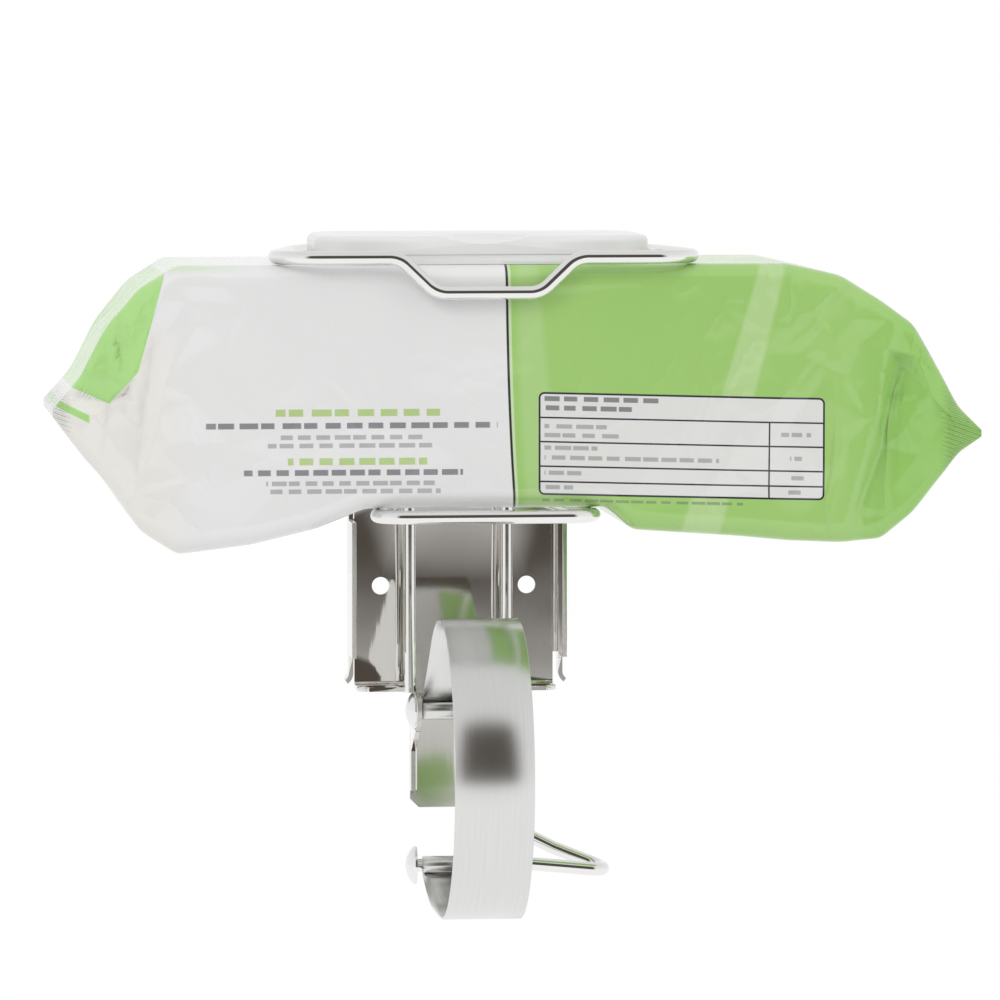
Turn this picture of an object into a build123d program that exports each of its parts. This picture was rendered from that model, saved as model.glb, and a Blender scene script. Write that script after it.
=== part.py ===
from build123d import *
import math
import os

# Wall holder for a soft pack of wipes, bent from stainless sheet and wire, with a
# strap clamp for a round rail below it.
# Millimetres. +X is to the right, +Y runs into the wall and +Z is up.
# The wall is the plane Y = 0, and the origin lies midway between the two wall screws.

# Folded wall plate
SHEET = 1.5
BEND_INNER = 1.0
PLATE_HALF_WIDTH = 36.5
PLATE_HALF_HEIGHT = 35.0
SIDE_FLANGE_DEPTH = 22.0
SIDE_FLANGE_HALF_HEIGHT = 23.0
LIP_DEPTH = 15.0
LIP_CORNER_RADIUS = 4.0
RELIEF_GAP = 1.0
WALL_SCREW_SPACING = 50.0
WALL_SCREW_HOLE = 6.0
FLARE_TAB_DEPTH = 6.5
FLARE_TAB_LENGTH = 6.0
FLARE_RADIUS = 3.0
FLARE_ANGLE = 55.0

# Tongue below the plate, with the two ears that carry the clamp
TONGUE_HALF_WIDTH = 15.0
TONGUE_LENGTH = 41.0
TONGUE_WALL_DEPTH = 6.0
TONGUE_CORNER_CUT = 3.0
EAR_RADIUS = 5.0
EAR_FOOT_DROP = 15.0

# Wires
UPRIGHT_DIAMETER = 4.0
UPRIGHT_HALF_SPACING = 16.5
LOOP_WIRE_DIAMETER = 4.5
LOOP_FRONT_REACH = 115.0
WELD_GAP = 0.05
HOOP_HEIGHT = 116.0
HOOP_FRONT_CLEARANCE = 16.0
HOOP_SIDE_CLEARANCE = 5.0
HOOP_SIDE_SETBACK = 13.75
HOOP_REAR_TUCK = 12.0
HOOP_CORNER_RADIUS = 15.0
HOOP_SIDE_RADIUS = 30.0
HOOP_REAR_RADIUS = 12.0
DIP_DEPTH = 11.5
DIP_SHOULDER_HALF = 29.0
DIP_FLOOR_HALF = 17.0
DIP_BEND_RADIUS = 9.0
TRAY_HEIGHT = 31.5
TRAY_FRONT_HALF = 37.0
TRAY_REAR_HALF = 24.0
TRAY_CORNER_RADIUS = 10.0
TRAY_REAR_RADIUS = 8.0

# Strap clamp
STRAP_THICKNESS = 0.8
STRAP_WIDTH = 26.0
STRAP_SIDE_GAP = 0.5
STRAP_RADIUS = 49.2
STRAP_CENTRE_REACH = 85.0
STRAP_CENTRE_HEIGHT = -54.0
STRAP_FLAT_LENGTH = 25.0
EYE_WRAP = 292.0
PIN_DIAMETER = 4.5
PIN_RUNNING_GAP = 0.08
PIN_SEAT_GAP = 0.02
PIN_REACH = 25.0
UPPER_PIN_HEIGHT = -40.4
LOWER_PIN_HEIGHT = -93.1
HEAD_DIAMETER = 13.0
HEAD_HEIGHT = 3.6
HEAD_RIM = 0.8
CAP_DIAMETER = 9.0
CAP_HEIGHT = 2.6
HEAD_SIDE_GAP = 0.2

# Pull handle, bent from the wire that is also the lower pin
HANDLE_TIP = 51.3
HANDLE_WIDTH = 12.0
HANDLE_STRAIGHT = 24.0
HANDLE_TIP_DROP = 2.4
HANDLE_ELBOW = 33.0
HANDLE_ELBOW_RISE = 4.0
HANDLE_END = 19.0
HANDLE_END_RISE = 11.0

# Soft pack of wipes
PACK_TOP_GAP = 0.3
PACK_FRONT_GAP = 0.5
PACK_SEAT_GAP = 0.2
PACK_REAR_GAP = 0.4
PACK_EDGE_RADIUS = 6.0
PACK_SIDE_GAP = 0.25
PACK_LEFT_REACH = 141.0
PACK_RIGHT_REACH = 164.5
PACK_LEFT_SAG = 14.5
PACK_RIGHT_SAG = 12.5
FIN_THICKNESS = 2.4
FIN_INSET = 5.0

# Shape of the pack at each side, as shares: the way out to the seal, the underside and
# the top between the deepest sag and the flat top, and the taper in depth
PACK_LEFT_SEAL = 0.49
PACK_RIGHT_SEAL = 0.386
PACK_LEFT_ROWS = [
    (0.163, 0.085, 1.0, 0.0),
    (0.369, 0.032, 1.0, 0.0),
    (0.606, 0.0, 1.0, 0.0),
    (0.724, 0.080, 0.921, 0.2),
    (0.833, 0.250, 0.782, 0.4),
    (0.911, 0.346, 0.612, 0.6),
]
PACK_RIGHT_ROWS = [
    (0.068, 0.054, 1.0, 0.0),
    (0.356, 0.027, 1.0, 0.0),
    (0.476, 0.011, 1.0, 0.0),
    (0.620, 0.0, 0.957, 0.0),
    (0.732, 0.011, 0.865, 0.2),
    (0.820, 0.104, 0.778, 0.4),
    (0.884, 0.212, 0.626, 0.6),
    (0.940, 0.310, 0.484, 0.8),
]

# Rigid lid on the pack
LID_WIDTH = 112.0
LID_FRONT_INSET = 6.0
LID_REAR_INSET = 26.25
LID_CORNER_RADIUS = 15.0
LID_FRAME_HEIGHT = 3.0
LID_OPENING_WIDTH = 80.0
LID_OPENING_DEPTH = 30.0
LID_RIM_HEIGHT = 1.8
LID_RIM_WALL = 1.2
FLAP_GAP = 0.1
FLAP_INSET = 1.0
FLAP_HEIGHT = 6.1
FLAP_WALL = 1.6
FLAP_EDGE_RADIUS = 2.4
THUMB_WIDTH = 29.5
THUMB_DEPTH = 2.6
THUMB_WALL = 1.3
LABEL_THICKNESS = 0.3
LABEL_MARGIN = 2.0
LABEL_TAB_WIDTH = 16.0

# Worked out from the sizes above
BEND_OUTER = BEND_INNER + SHEET
LIP_START = TONGUE_HALF_WIDTH + RELIEF_GAP
LIP_END = PLATE_HALF_WIDTH - BEND_OUTER
UPRIGHT_Y = -(LIP_DEPTH + UPRIGHT_DIAMETER / 2 + WELD_GAP)
LOOP_REAR_Y = UPRIGHT_Y - UPRIGHT_DIAMETER / 2 - LOOP_WIRE_DIAMETER / 2 - WELD_GAP
LOOP_FRONT_Y = -LOOP_FRONT_REACH
WIRE_RADIUS = LOOP_WIRE_DIAMETER / 2
PIN_RADIUS = PIN_DIAMETER / 2
EAR_INNER = STRAP_WIDTH / 2 + STRAP_SIDE_GAP
EAR_OUTER = EAR_INNER + SHEET
HEAD_SEAT = EAR_OUTER + HEAD_SIDE_GAP
PACK_TOP = HOOP_HEIGHT - WIRE_RADIUS - PACK_TOP_GAP
PACK_SEAT = TRAY_HEIGHT + WIRE_RADIUS + PACK_SEAT_GAP
PACK_FRONT = LOOP_FRONT_Y + WIRE_RADIUS + PACK_FRONT_GAP
PACK_REAR = LOOP_REAR_Y - WIRE_RADIUS - PACK_REAR_GAP
PACK_SAG_START = TRAY_FRONT_HALF + WIRE_RADIUS + PACK_SIDE_GAP
LID_FRONT = PACK_FRONT + LID_FRONT_INSET
LID_REAR = PACK_REAR - LID_REAR_INSET
LID_DEPTH = LID_REAR - LID_FRONT
LID_CENTRE_Y = (LID_FRONT + LID_REAR) / 2
LID_FRAME_TOP = PACK_TOP + LID_FRAME_HEIGHT
FLAP_BOTTOM = LID_FRAME_TOP + FLAP_GAP
FLAP_TOP = FLAP_BOTTOM + FLAP_HEIGHT
HOOP_FRONT_HALF = LID_WIDTH / 2 + HOOP_FRONT_CLEARANCE
HOOP_SIDE_HALF = LID_WIDTH / 2 + HOOP_SIDE_CLEARANCE
HOOP_REAR_HALF = LID_WIDTH / 2 - HOOP_REAR_TUCK
HOOP_SIDE_Y = LID_REAR - HOOP_SIDE_SETBACK


def slab(x0, x1, y0, y1, z0, z1):
    """A block between two corners."""
    block = Box(x1 - x0, y1 - y0, z1 - z0, align=(Align.MIN, Align.MIN, Align.MIN))
    return Pos(x0, y0, z0) * block


def channel(half_width, depth, z0, z1):
    """A length of folded channel, open to the front, with rounded bends."""
    outer = Pos(0, -depth / 2) * Rectangle(2 * half_width, depth)
    outer = fillet(outer.vertices().group_by(Axis.Y)[-1], BEND_OUTER)
    inner = Pos(0, -(depth + SHEET) / 2) * Rectangle(2 * (half_width - SHEET), depth - SHEET)
    inner = fillet(inner.vertices().group_by(Axis.Y)[-1], BEND_INNER)
    return Pos(0, 0, z0) * extrude(outer - inner, z1 - z0)


def side_profile(face, x0, x1):
    """A face drawn as (reach from the wall, height), given a thickness along X."""
    plane = Plane(origin=(x0, 0, 0), x_dir=(0, -1, 0), z_dir=(-1, 0, 0))
    return extrude(plane * face, -(x1 - x0))


def lip():
    """One folded lip at the lower edge of the plate, right of the tongue."""
    leg = BEND_OUTER + 2 * SHEET
    bottom = -PLATE_HALF_HEIGHT
    outer = Pos(LIP_DEPTH / 2, bottom + leg / 2) * Rectangle(LIP_DEPTH, leg)
    outer = fillet(outer.vertices().sort_by_distance((0, bottom))[0], BEND_OUTER)
    inner = Pos((LIP_DEPTH + SHEET) / 2, bottom + (leg + SHEET) / 2)
    inner = inner * Rectangle(LIP_DEPTH - SHEET, leg - SHEET)
    inner = fillet(inner.vertices().sort_by_distance((SHEET, bottom + SHEET))[0], BEND_INNER)
    shape = side_profile(outer - inner, LIP_START, LIP_END)
    corner = shape.edges().filter_by(Axis.Z).group_by(Axis.Y)[0].sort_by(Axis.X)[-1]
    return fillet(corner, LIP_CORNER_RADIUS)


def flare():
    """The narrow tab under the right side flange, flared outwards at its end."""
    x0 = PLATE_HALF_WIDTH - SHEET
    y0 = -BEND_OUTER - FLARE_TAB_DEPTH
    z0 = -SIDE_FLANGE_HALF_HEIGHT - FLARE_TAB_LENGTH
    tab = slab(x0, PLATE_HALF_WIDTH, y0, -BEND_OUTER, z0, -SIDE_FLANGE_HALF_HEIGHT)
    ring = Circle(FLARE_RADIUS + SHEET) - Circle(FLARE_RADIUS)
    reach = 2 * (FLARE_RADIUS + SHEET)
    end = math.radians(180 + FLARE_ANGLE)
    wedge = make_face(Polyline(
        (0, 0),
        (-reach, 0),
        (-reach, -reach),
        (reach * math.cos(end), reach * math.sin(end)),
        (0, 0),
    ))
    plane = Plane(origin=(PLATE_HALF_WIDTH + FLARE_RADIUS, y0, z0), x_dir=(1, 0, 0), z_dir=(0, -1, 0))
    curl = extrude(plane * (ring & wedge), -FLARE_TAB_DEPTH)
    return tab + curl


def ear():
    """The right ear of the tongue: a lug round the pin that runs down into the side wall."""
    foot = Pos(TONGUE_WALL_DEPTH - SHEET, UPPER_PIN_HEIGHT - EAR_FOOT_DROP) * Circle(SHEET)
    root_height = 2 * EAR_RADIUS
    root = Pos(TONGUE_WALL_DEPTH / 2 + SHEET / 2, UPPER_PIN_HEIGHT)
    root = root * Rectangle(TONGUE_WALL_DEPTH - SHEET, root_height)
    lug = Pos(PIN_REACH, UPPER_PIN_HEIGHT) * Circle(EAR_RADIUS)
    outline = make_hull((foot + root + lug).edges())
    bore = Pos(PIN_REACH, UPPER_PIN_HEIGHT) * Circle(PIN_RADIUS + PIN_SEAT_GAP)
    return side_profile(outline - bore, EAR_INNER, EAR_OUTER)


def both_sides(shape):
    """A shape and its mirror image across the middle plane."""
    return shape + mirror(shape, about=Plane.YZ)


def wall_plate():
    """One folded sheet: the back, side flanges, lips, tongue and ears."""
    back = slab(-LIP_END, LIP_END, -SHEET, 0, -PLATE_HALF_HEIGHT, PLATE_HALF_HEIGHT)
    fold = 2 * SHEET + BEND_OUTER
    low = -PLATE_HALF_HEIGHT
    back -= both_sides(slab(LIP_START - RELIEF_GAP, LIP_END, -SHEET, 0, low, low + fold))
    back -= both_sides(slab(LIP_START, LIP_END, -SHEET, 0, -low - fold, -low))
    sides = channel(
        PLATE_HALF_WIDTH, SIDE_FLANGE_DEPTH, -SIDE_FLANGE_HALF_HEIGHT, SIDE_FLANGE_HALF_HEIGHT
    )
    tongue_bottom = low - TONGUE_LENGTH
    tongue = slab(-TONGUE_HALF_WIDTH, TONGUE_HALF_WIDTH, -SHEET, 0, tongue_bottom, low + fold)
    corners = tongue.edges().filter_by(Axis.Y).group_by(Axis.Z)[0]
    tongue = chamfer(corners, TONGUE_CORNER_CUT)
    walls = channel(
        TONGUE_HALF_WIDTH,
        TONGUE_WALL_DEPTH,
        tongue_bottom + 2 * TONGUE_CORNER_CUT,
        UPPER_PIN_HEIGHT + EAR_RADIUS,
    )
    lower_lips = both_sides(lip())
    upper_lips = mirror(lower_lips, about=Plane.XY)
    lower_flares = both_sides(flare())
    upper_flares = mirror(lower_flares, about=Plane.XY)
    plate = back + sides + tongue + walls + lower_lips + upper_lips
    plate += lower_flares + upper_flares + both_sides(ear())
    for side in (-1, 1):
        bore = Pos(side * WALL_SCREW_SPACING / 2, 0, 0) * Rot(90, 0, 0)
        plate -= bore * Cylinder(WALL_SCREW_HOLE / 2, 4 * SHEET)
    return plate


def wire_along(path, diameter):
    """A round wire along a path of straight runs and round bends."""
    pieces = []
    for run in path.edges():
        start = Plane(origin=run @ 0, z_dir=run % 0) * Circle(diameter / 2)
        if run.geom_type == GeomType.LINE:
            pieces.append(extrude(start, run.length))
        else:
            bend = math.degrees(run.length / run.radius)
            turning = Axis(run.arc_center, (run % 0).cross(run % 1))
            pieces.append(revolve(start, turning, bend))
    return pieces[0].fuse(*pieces[1:])


def upright(side):
    """One straight wire, from the lower lip up to the hoop."""
    top = HOOP_HEIGHT + WIRE_RADIUS
    length = top + PLATE_HALF_HEIGHT
    rod = Cylinder(UPRIGHT_DIAMETER / 2, length, align=(Align.CENTER, Align.CENTER, Align.MIN))
    return Pos(side * UPRIGHT_HALF_SPACING, UPRIGHT_Y, -PLATE_HALF_HEIGHT) * rod


def upper_hoop():
    """The wire that lies round the lid, with a dip in its front for the hand."""
    floor = HOOP_HEIGHT - DIP_DEPTH
    path = FilletPolyline(
        (0, LOOP_REAR_Y, HOOP_HEIGHT),
        (HOOP_REAR_HALF, LOOP_REAR_Y, HOOP_HEIGHT),
        (HOOP_SIDE_HALF, HOOP_SIDE_Y, HOOP_HEIGHT),
        (HOOP_FRONT_HALF, LOOP_FRONT_Y, HOOP_HEIGHT),
        (DIP_SHOULDER_HALF, LOOP_FRONT_Y, HOOP_HEIGHT),
        (DIP_FLOOR_HALF, LOOP_FRONT_Y, floor),
        (0, LOOP_FRONT_Y, floor),
        radius=[
            HOOP_REAR_RADIUS,
            HOOP_SIDE_RADIUS,
            HOOP_CORNER_RADIUS,
            DIP_BEND_RADIUS,
            DIP_BEND_RADIUS,
        ],
    )
    return both_sides(wire_along(path, LOOP_WIRE_DIAMETER))


def tray_loop():
    """The wire that the pack rests on."""
    path = FilletPolyline(
        (0, LOOP_REAR_Y, TRAY_HEIGHT),
        (TRAY_REAR_HALF, LOOP_REAR_Y, TRAY_HEIGHT),
        (TRAY_FRONT_HALF, LOOP_FRONT_Y, TRAY_HEIGHT),
        (0, LOOP_FRONT_Y, TRAY_HEIGHT),
        radius=[TRAY_REAR_RADIUS, TRAY_CORNER_RADIUS],
    )
    return both_sides(wire_along(path, LOOP_WIRE_DIAMETER))


class StripPath:
    """Walks along the middle of a bent strip and gathers its section, face by face."""

    def __init__(self, start, heading):
        self.at = start
        self.heading = heading
        self.section = None

    def gather(self, face):
        self.section = face if self.section is None else self.section + face

    def straight(self, length):
        turn = math.radians(self.heading)
        middle = (
            self.at[0] + length / 2 * math.cos(turn),
            self.at[1] + length / 2 * math.sin(turn),
        )
        self.gather(Pos(*middle) * Rot(0, 0, self.heading) * Rectangle(length, STRAP_THICKNESS))
        self.at = (
            self.at[0] + length * math.cos(turn),
            self.at[1] + length * math.sin(turn),
        )

    def bend(self, radius, angle):
        """Bends by an angle, in degrees: positive to the left, negative to the right."""
        side = 1 if angle > 0 else -1
        normal = math.radians(self.heading + 90 * side)
        centre = (
            self.at[0] + radius * math.cos(normal),
            self.at[1] + radius * math.sin(normal),
        )
        first = self.heading - 90 * side
        inner = radius - STRAP_THICKNESS / 2
        outer = radius + STRAP_THICKNESS / 2

        def spot(r, degrees):
            turn = math.radians(degrees)
            return (centre[0] + r * math.cos(turn), centre[1] + r * math.sin(turn))

        outer_arc = ThreePointArc(
            spot(outer, first), spot(outer, first + angle / 2), spot(outer, first + angle)
        )
        inner_arc = ThreePointArc(
            spot(inner, first + angle), spot(inner, first + angle / 2), spot(inner, first)
        )
        end = Line(outer_arc @ 1, inner_arc @ 0)
        begin = Line(inner_arc @ 1, outer_arc @ 0)
        self.gather(make_face([outer_arc, end, inner_arc, begin]))
        self.at = spot(radius, first + angle)
        self.heading += angle


def clamp_strap():
    """The bent strap: a rolled eye, an arm, the round front, a flat and a second eye."""
    eye = PIN_RADIUS + PIN_RUNNING_GAP + STRAP_THICKNESS / 2
    run = STRAP_CENTRE_REACH - PIN_REACH
    drop = STRAP_CENTRE_HEIGHT - UPPER_PIN_HEIGHT
    apart = math.hypot(run, drop)
    arm_heading = math.degrees(math.atan2(drop, run) + math.asin((STRAP_RADIUS - eye) / apart))
    arm_length = math.sqrt(apart**2 - (STRAP_RADIUS - eye) ** 2)
    turn = math.radians(arm_heading + 90 + EYE_WRAP)
    eye_start = (
        PIN_REACH + eye * math.cos(turn),
        UPPER_PIN_HEIGHT + eye * math.sin(turn),
    )
    path = StripPath(eye_start, arm_heading + EYE_WRAP)
    path.bend(eye, -EYE_WRAP)
    path.straight(arm_length)
    path.bend(STRAP_RADIUS, -(arm_heading + 180))
    path.straight(STRAP_FLAT_LENGTH)
    # The rising arc is tangent to the flat and to the lower eye.
    run = STRAP_CENTRE_REACH - STRAP_FLAT_LENGTH - PIN_REACH
    rise = LOWER_PIN_HEIGHT - (STRAP_CENTRE_HEIGHT - STRAP_RADIUS)
    radius = (run**2 + rise**2 - eye**2) / (2 * (rise - eye))
    rising = math.degrees(math.atan2(run, radius - rise))
    path.bend(radius, -rising)
    path.bend(eye, -EYE_WRAP)
    return side_profile(path.section, -STRAP_WIDTH / 2, STRAP_WIDTH / 2)


def mushroom(diameter, height):
    """A low domed head on a short rim, with its flat face at the origin, pointing to +Z."""
    radius = diameter / 2
    dome = height - HEAD_RIM
    ball = (radius**2 + dome**2) / (2 * dome)
    crown = ThreePointArc(
        (radius, HEAD_RIM),
        (radius / 2, HEAD_RIM + dome - ball + math.sqrt(ball**2 - radius**2 / 4)),
        (0, height),
    )
    edge = Polyline((0, height), (0, 0), (radius, 0), (radius, HEAD_RIM))
    return revolve(Plane.XZ * make_face([crown, edge]), Axis.Z)


def on_pin(shape, pin_height, side):
    """Turns a head that points to +Z so that it seats on the side of an ear or strap."""
    seat = Pos(side * HEAD_SEAT, -PIN_REACH, pin_height)
    return seat * Rot(0, side * 90, 0) * shape


def upper_pin():
    """The fixed pin through both ears, with its head on the left."""
    length = 2 * HEAD_SEAT + CAP_HEIGHT - HEAD_RIM
    shank = Pos(-HEAD_SEAT, -PIN_REACH, UPPER_PIN_HEIGHT) * Rot(0, 90, 0)
    shank = shank * Cylinder(PIN_RADIUS, length, align=(Align.CENTER, Align.CENTER, Align.MIN))
    return shank + on_pin(mushroom(HEAD_DIAMETER, HEAD_HEIGHT), UPPER_PIN_HEIGHT, -1)


def upper_pin_cap():
    """The small cap that is pressed on the right end of the upper pin."""
    cap = on_pin(mushroom(CAP_DIAMETER, CAP_HEIGHT), UPPER_PIN_HEIGHT, 1)
    return cap - upper_pin()


def pull_handle():
    """The lower pin and its finger loop, bent from one wire."""
    tip = HANDLE_TIP - WIRE_RADIUS
    rear = -PIN_REACH + HANDLE_WIDTH
    path = FilletPolyline(
        (-HEAD_SEAT - HEAD_RIM, -PIN_REACH, LOWER_PIN_HEIGHT),
        (HANDLE_STRAIGHT, -PIN_REACH, LOWER_PIN_HEIGHT),
        (tip, -PIN_REACH, LOWER_PIN_HEIGHT - HANDLE_TIP_DROP),
        (tip, rear, LOWER_PIN_HEIGHT - HANDLE_TIP_DROP),
        (HANDLE_ELBOW, rear, LOWER_PIN_HEIGHT + HANDLE_ELBOW_RISE),
        (HANDLE_END, rear, LOWER_PIN_HEIGHT + HANDLE_END_RISE),
        radius=[
            4 * PIN_DIAMETER,
            0.45 * HANDLE_WIDTH,
            0.45 * HANDLE_WIDTH,
            4 * PIN_DIAMETER,
        ],
    )
    return wire_along(path, PIN_DIAMETER)


def handle_cap():
    """The domed cap that is pressed on the left end of the lower pin."""
    cap = on_pin(mushroom(HEAD_DIAMETER, HEAD_HEIGHT), LOWER_PIN_HEIGHT, -1)
    return cap - pull_handle()


def pack_section(x, low, high, inset):
    """One section of the pack, a rounded rectangle across X."""
    depth = PACK_REAR - PACK_FRONT - 2 * inset
    height = high - low
    radius = min(PACK_EDGE_RADIUS, 0.45 * height)
    middle = (x, (PACK_REAR + PACK_FRONT) / 2, (high + low) / 2)
    plane = Plane(origin=middle, x_dir=(0, 1, 0), z_dir=(1, 0, 0))
    return plane * RectangleRounded(depth, height, radius)


def pack_end(side, reach, sag, seal_share, rows):
    """Sections of one side of the pack, from where it leaves the tray out to its seal."""
    bottom = PACK_SEAT - sag
    height = PACK_TOP - bottom
    sections = []
    for along, low, high, inset in rows:
        x = side * (PACK_SAG_START + along * (reach - PACK_SAG_START))
        section = pack_section(x, bottom + low * height, bottom + high * height, inset * FIN_INSET)
        sections.append(section)
    seal = bottom + seal_share * height
    fin = FIN_THICKNESS / 2
    sections.append(pack_section(side * reach, seal - fin, seal + fin, FIN_INSET))
    return sections


def wipes_pack():
    """The sealed film pack: flat where it rests on the tray, sagging at both sides."""
    left = pack_end(-1, PACK_LEFT_REACH, PACK_LEFT_SAG, PACK_LEFT_SEAL, PACK_LEFT_ROWS)
    right = pack_end(1, PACK_RIGHT_REACH, PACK_RIGHT_SAG, PACK_RIGHT_SEAL, PACK_RIGHT_ROWS)
    seat = [
        pack_section(-PACK_SAG_START, PACK_SEAT, PACK_TOP, 0.0),
        pack_section(PACK_SAG_START, PACK_SEAT, PACK_TOP, 0.0),
    ]
    return loft(left[::-1] + seat + right, ruled=True)


def lid_frame():
    """The moulded frame on the pack, with the opening and the sealing rim round it."""
    plane = Plane((0, LID_CENTRE_Y, PACK_TOP))
    outline = RectangleRounded(LID_WIDTH, LID_DEPTH, LID_CORNER_RADIUS)
    opening_radius = LID_OPENING_DEPTH / 2 - LID_RIM_WALL
    opening = RectangleRounded(LID_OPENING_WIDTH, LID_OPENING_DEPTH, opening_radius)
    rim_width = LID_OPENING_WIDTH + 2 * LID_RIM_WALL
    rim_depth = LID_OPENING_DEPTH + 2 * LID_RIM_WALL
    rim = RectangleRounded(rim_width, rim_depth, opening_radius + LID_RIM_WALL)
    body = extrude(plane * outline, LID_FRAME_HEIGHT)
    body += extrude(plane * rim, LID_FRAME_HEIGHT + LID_RIM_HEIGHT)
    return body - extrude(plane * opening, LID_FRAME_HEIGHT + LID_RIM_HEIGHT)


def flap_outline(inset):
    """The flap's outline, flush with the frame at the hinge side."""
    width = LID_WIDTH - 2 * FLAP_INSET - 2 * inset
    depth = LID_DEPTH - FLAP_INSET - 2 * inset
    radius = LID_CORNER_RADIUS - FLAP_INSET - inset
    return Pos(0, FLAP_INSET / 2) * RectangleRounded(width, depth, radius)


def lid_flap():
    """The flip lid: a shell with a scooped thumb notch in the middle of its front edge."""
    plane = Plane((0, LID_CENTRE_Y, FLAP_BOTTOM))
    body = extrude(plane * flap_outline(0), FLAP_HEIGHT)
    body = fillet(body.faces().sort_by(Axis.Z)[-1].edges(), FLAP_EDGE_RADIUS)
    cavity = extrude(plane * flap_outline(FLAP_WALL), FLAP_HEIGHT - FLAP_WALL)
    ball = ((THUMB_WIDTH / 2) ** 2 + THUMB_DEPTH**2) / (2 * THUMB_DEPTH)
    centre = Pos(0, LID_FRONT + FLAP_INSET, FLAP_TOP - THUMB_DEPTH + ball)
    pad = slab(
        -THUMB_WIDTH / 2,
        THUMB_WIDTH / 2,
        LID_FRONT,
        LID_FRONT + THUMB_WIDTH / 2,
        FLAP_TOP - THUMB_DEPTH - THUMB_WALL,
        FLAP_TOP,
    )
    cavity -= pad
    body -= cavity
    return body - centre * Sphere(ball)


def peel_label():
    """The resealable film label on the pack, inside the frame, with its pull tab."""
    plane = Plane((0, LID_CENTRE_Y, PACK_TOP))
    width = LID_OPENING_WIDTH - 2 * LABEL_MARGIN - LABEL_TAB_WIDTH / 2
    depth = LID_OPENING_DEPTH - 2 * LABEL_MARGIN
    body = Pos(-LABEL_TAB_WIDTH / 4, 0) * RectangleRounded(width, depth, 0.45 * depth)
    tab = Pos(width / 2 - LABEL_TAB_WIDTH / 4, 0)
    tab = tab * RectangleRounded(LABEL_TAB_WIDTH, depth / 2, 0.2 * depth)
    return extrude(plane * (body + tab), LABEL_THICKNESS)


parts = {
    "wall_plate": wall_plate(),
    "left_upright": upright(-1),
    "right_upright": upright(1),
    "upper_hoop": upper_hoop(),
    "tray_loop": tray_loop(),
    "clamp_strap": clamp_strap(),
    "upper_pin": upper_pin(),
    "upper_pin_cap": upper_pin_cap(),
    "pull_handle": pull_handle(),
    "handle_cap": handle_cap(),
    "wipes_pack": wipes_pack(),
    "lid_frame": lid_frame(),
    "lid_flap": lid_flap(),
    "peel_label": peel_label(),
}

for name, shape in parts.items():
    export_step(shape, f"parts/{name}.step")
    print(name, round(shape.volume, 1), len(shape.solids()))
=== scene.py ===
"""Looks of a wall holder for a soft pack of wipes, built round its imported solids.

Lengths in the tables below are millimetres in the part's own frame and become metres
where a mesh is made. The solids give every fixed size; this script gives the
finishes, the smooth wires and strap, and the soft form of the film.
"""

import math

import bmesh
import bpy
import numpy as np
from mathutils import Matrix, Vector, geometry, noise


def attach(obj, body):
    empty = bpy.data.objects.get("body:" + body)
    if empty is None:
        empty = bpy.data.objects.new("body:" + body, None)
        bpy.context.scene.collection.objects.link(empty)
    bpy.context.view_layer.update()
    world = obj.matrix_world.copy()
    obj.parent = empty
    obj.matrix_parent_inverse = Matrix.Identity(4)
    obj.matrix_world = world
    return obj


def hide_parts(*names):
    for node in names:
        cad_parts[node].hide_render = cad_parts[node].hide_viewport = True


MM = 0.001
TO_MM = 1000.0

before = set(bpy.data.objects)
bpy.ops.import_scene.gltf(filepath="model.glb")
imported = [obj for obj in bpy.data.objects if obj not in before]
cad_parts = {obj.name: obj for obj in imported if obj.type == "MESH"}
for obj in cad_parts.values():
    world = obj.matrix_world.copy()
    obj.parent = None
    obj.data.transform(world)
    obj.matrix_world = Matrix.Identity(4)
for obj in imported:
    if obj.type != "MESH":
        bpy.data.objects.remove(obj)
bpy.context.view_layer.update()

# Camera, placed in metres slightly left of and above the holder, with a long lens
CAMERA_PLACE = (-0.2528, -2.4872, 0.206)
CAMERA_YAW = math.radians(6.17)
CAMERA_PITCH = math.radians(4.05)
CAMERA_LENS = 264.6
SENSOR_WIDTH = 36.0
CLIP_END = 50.0

# Studio in metres: height and left, right, front and rear edge of the floor, then lamps
FLOOR_HEIGHT = -0.32
FLOOR_EDGES = (-4.0, 4.0, -2.2, 4.0)
FLOOR_GLOW = 1.06
FLOOR_GLOW_SHARE = 0.8
LAMPS = [  # name, place, target, size and watts
    ("key_lamp", (-1.1, -1.5, 1.5), (0.0, -0.06, 0.05), (0.9, 0.9), 9.0),
    ("side_lamp", (1.6, -0.9, 0.7), (0.0, -0.06, 0.03), (0.5, 1.2), 4.0),
]

# Room: fades of its dark side go over rise and swing, and its greys over height
WHITE = (1.0, 1.0, 1.0, 1.0)
DARK_COLOUR = (0.088, 0.076, 0.064, 1.0)
DARK_FLOOR_FADE = (-0.12, -0.08)
DARK_CEILING_FADE = (1.05, 0.75)
DARK_SIDE_FADE = (0.9, 0.55)
MIRRORED_GREY = (-0.3, 0.9, 1.0, 0.8)  # lowest and highest direction, then their greys
SOFT_GREY = (-1.0, 1.0, 0.62, 0.86)

# Angles in degrees past which a surface keeps a sharp edge, then a distance in metres
SOLID_SMOOTH = 30.0
LID_SMOOTH = 35.0
WIRE_SMOOTH = 40.0
STRAP_SMOOTH = 50.0
FILM_SMOOTH = 70.0
MERGE_DISTANCE = 0.000004

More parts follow.
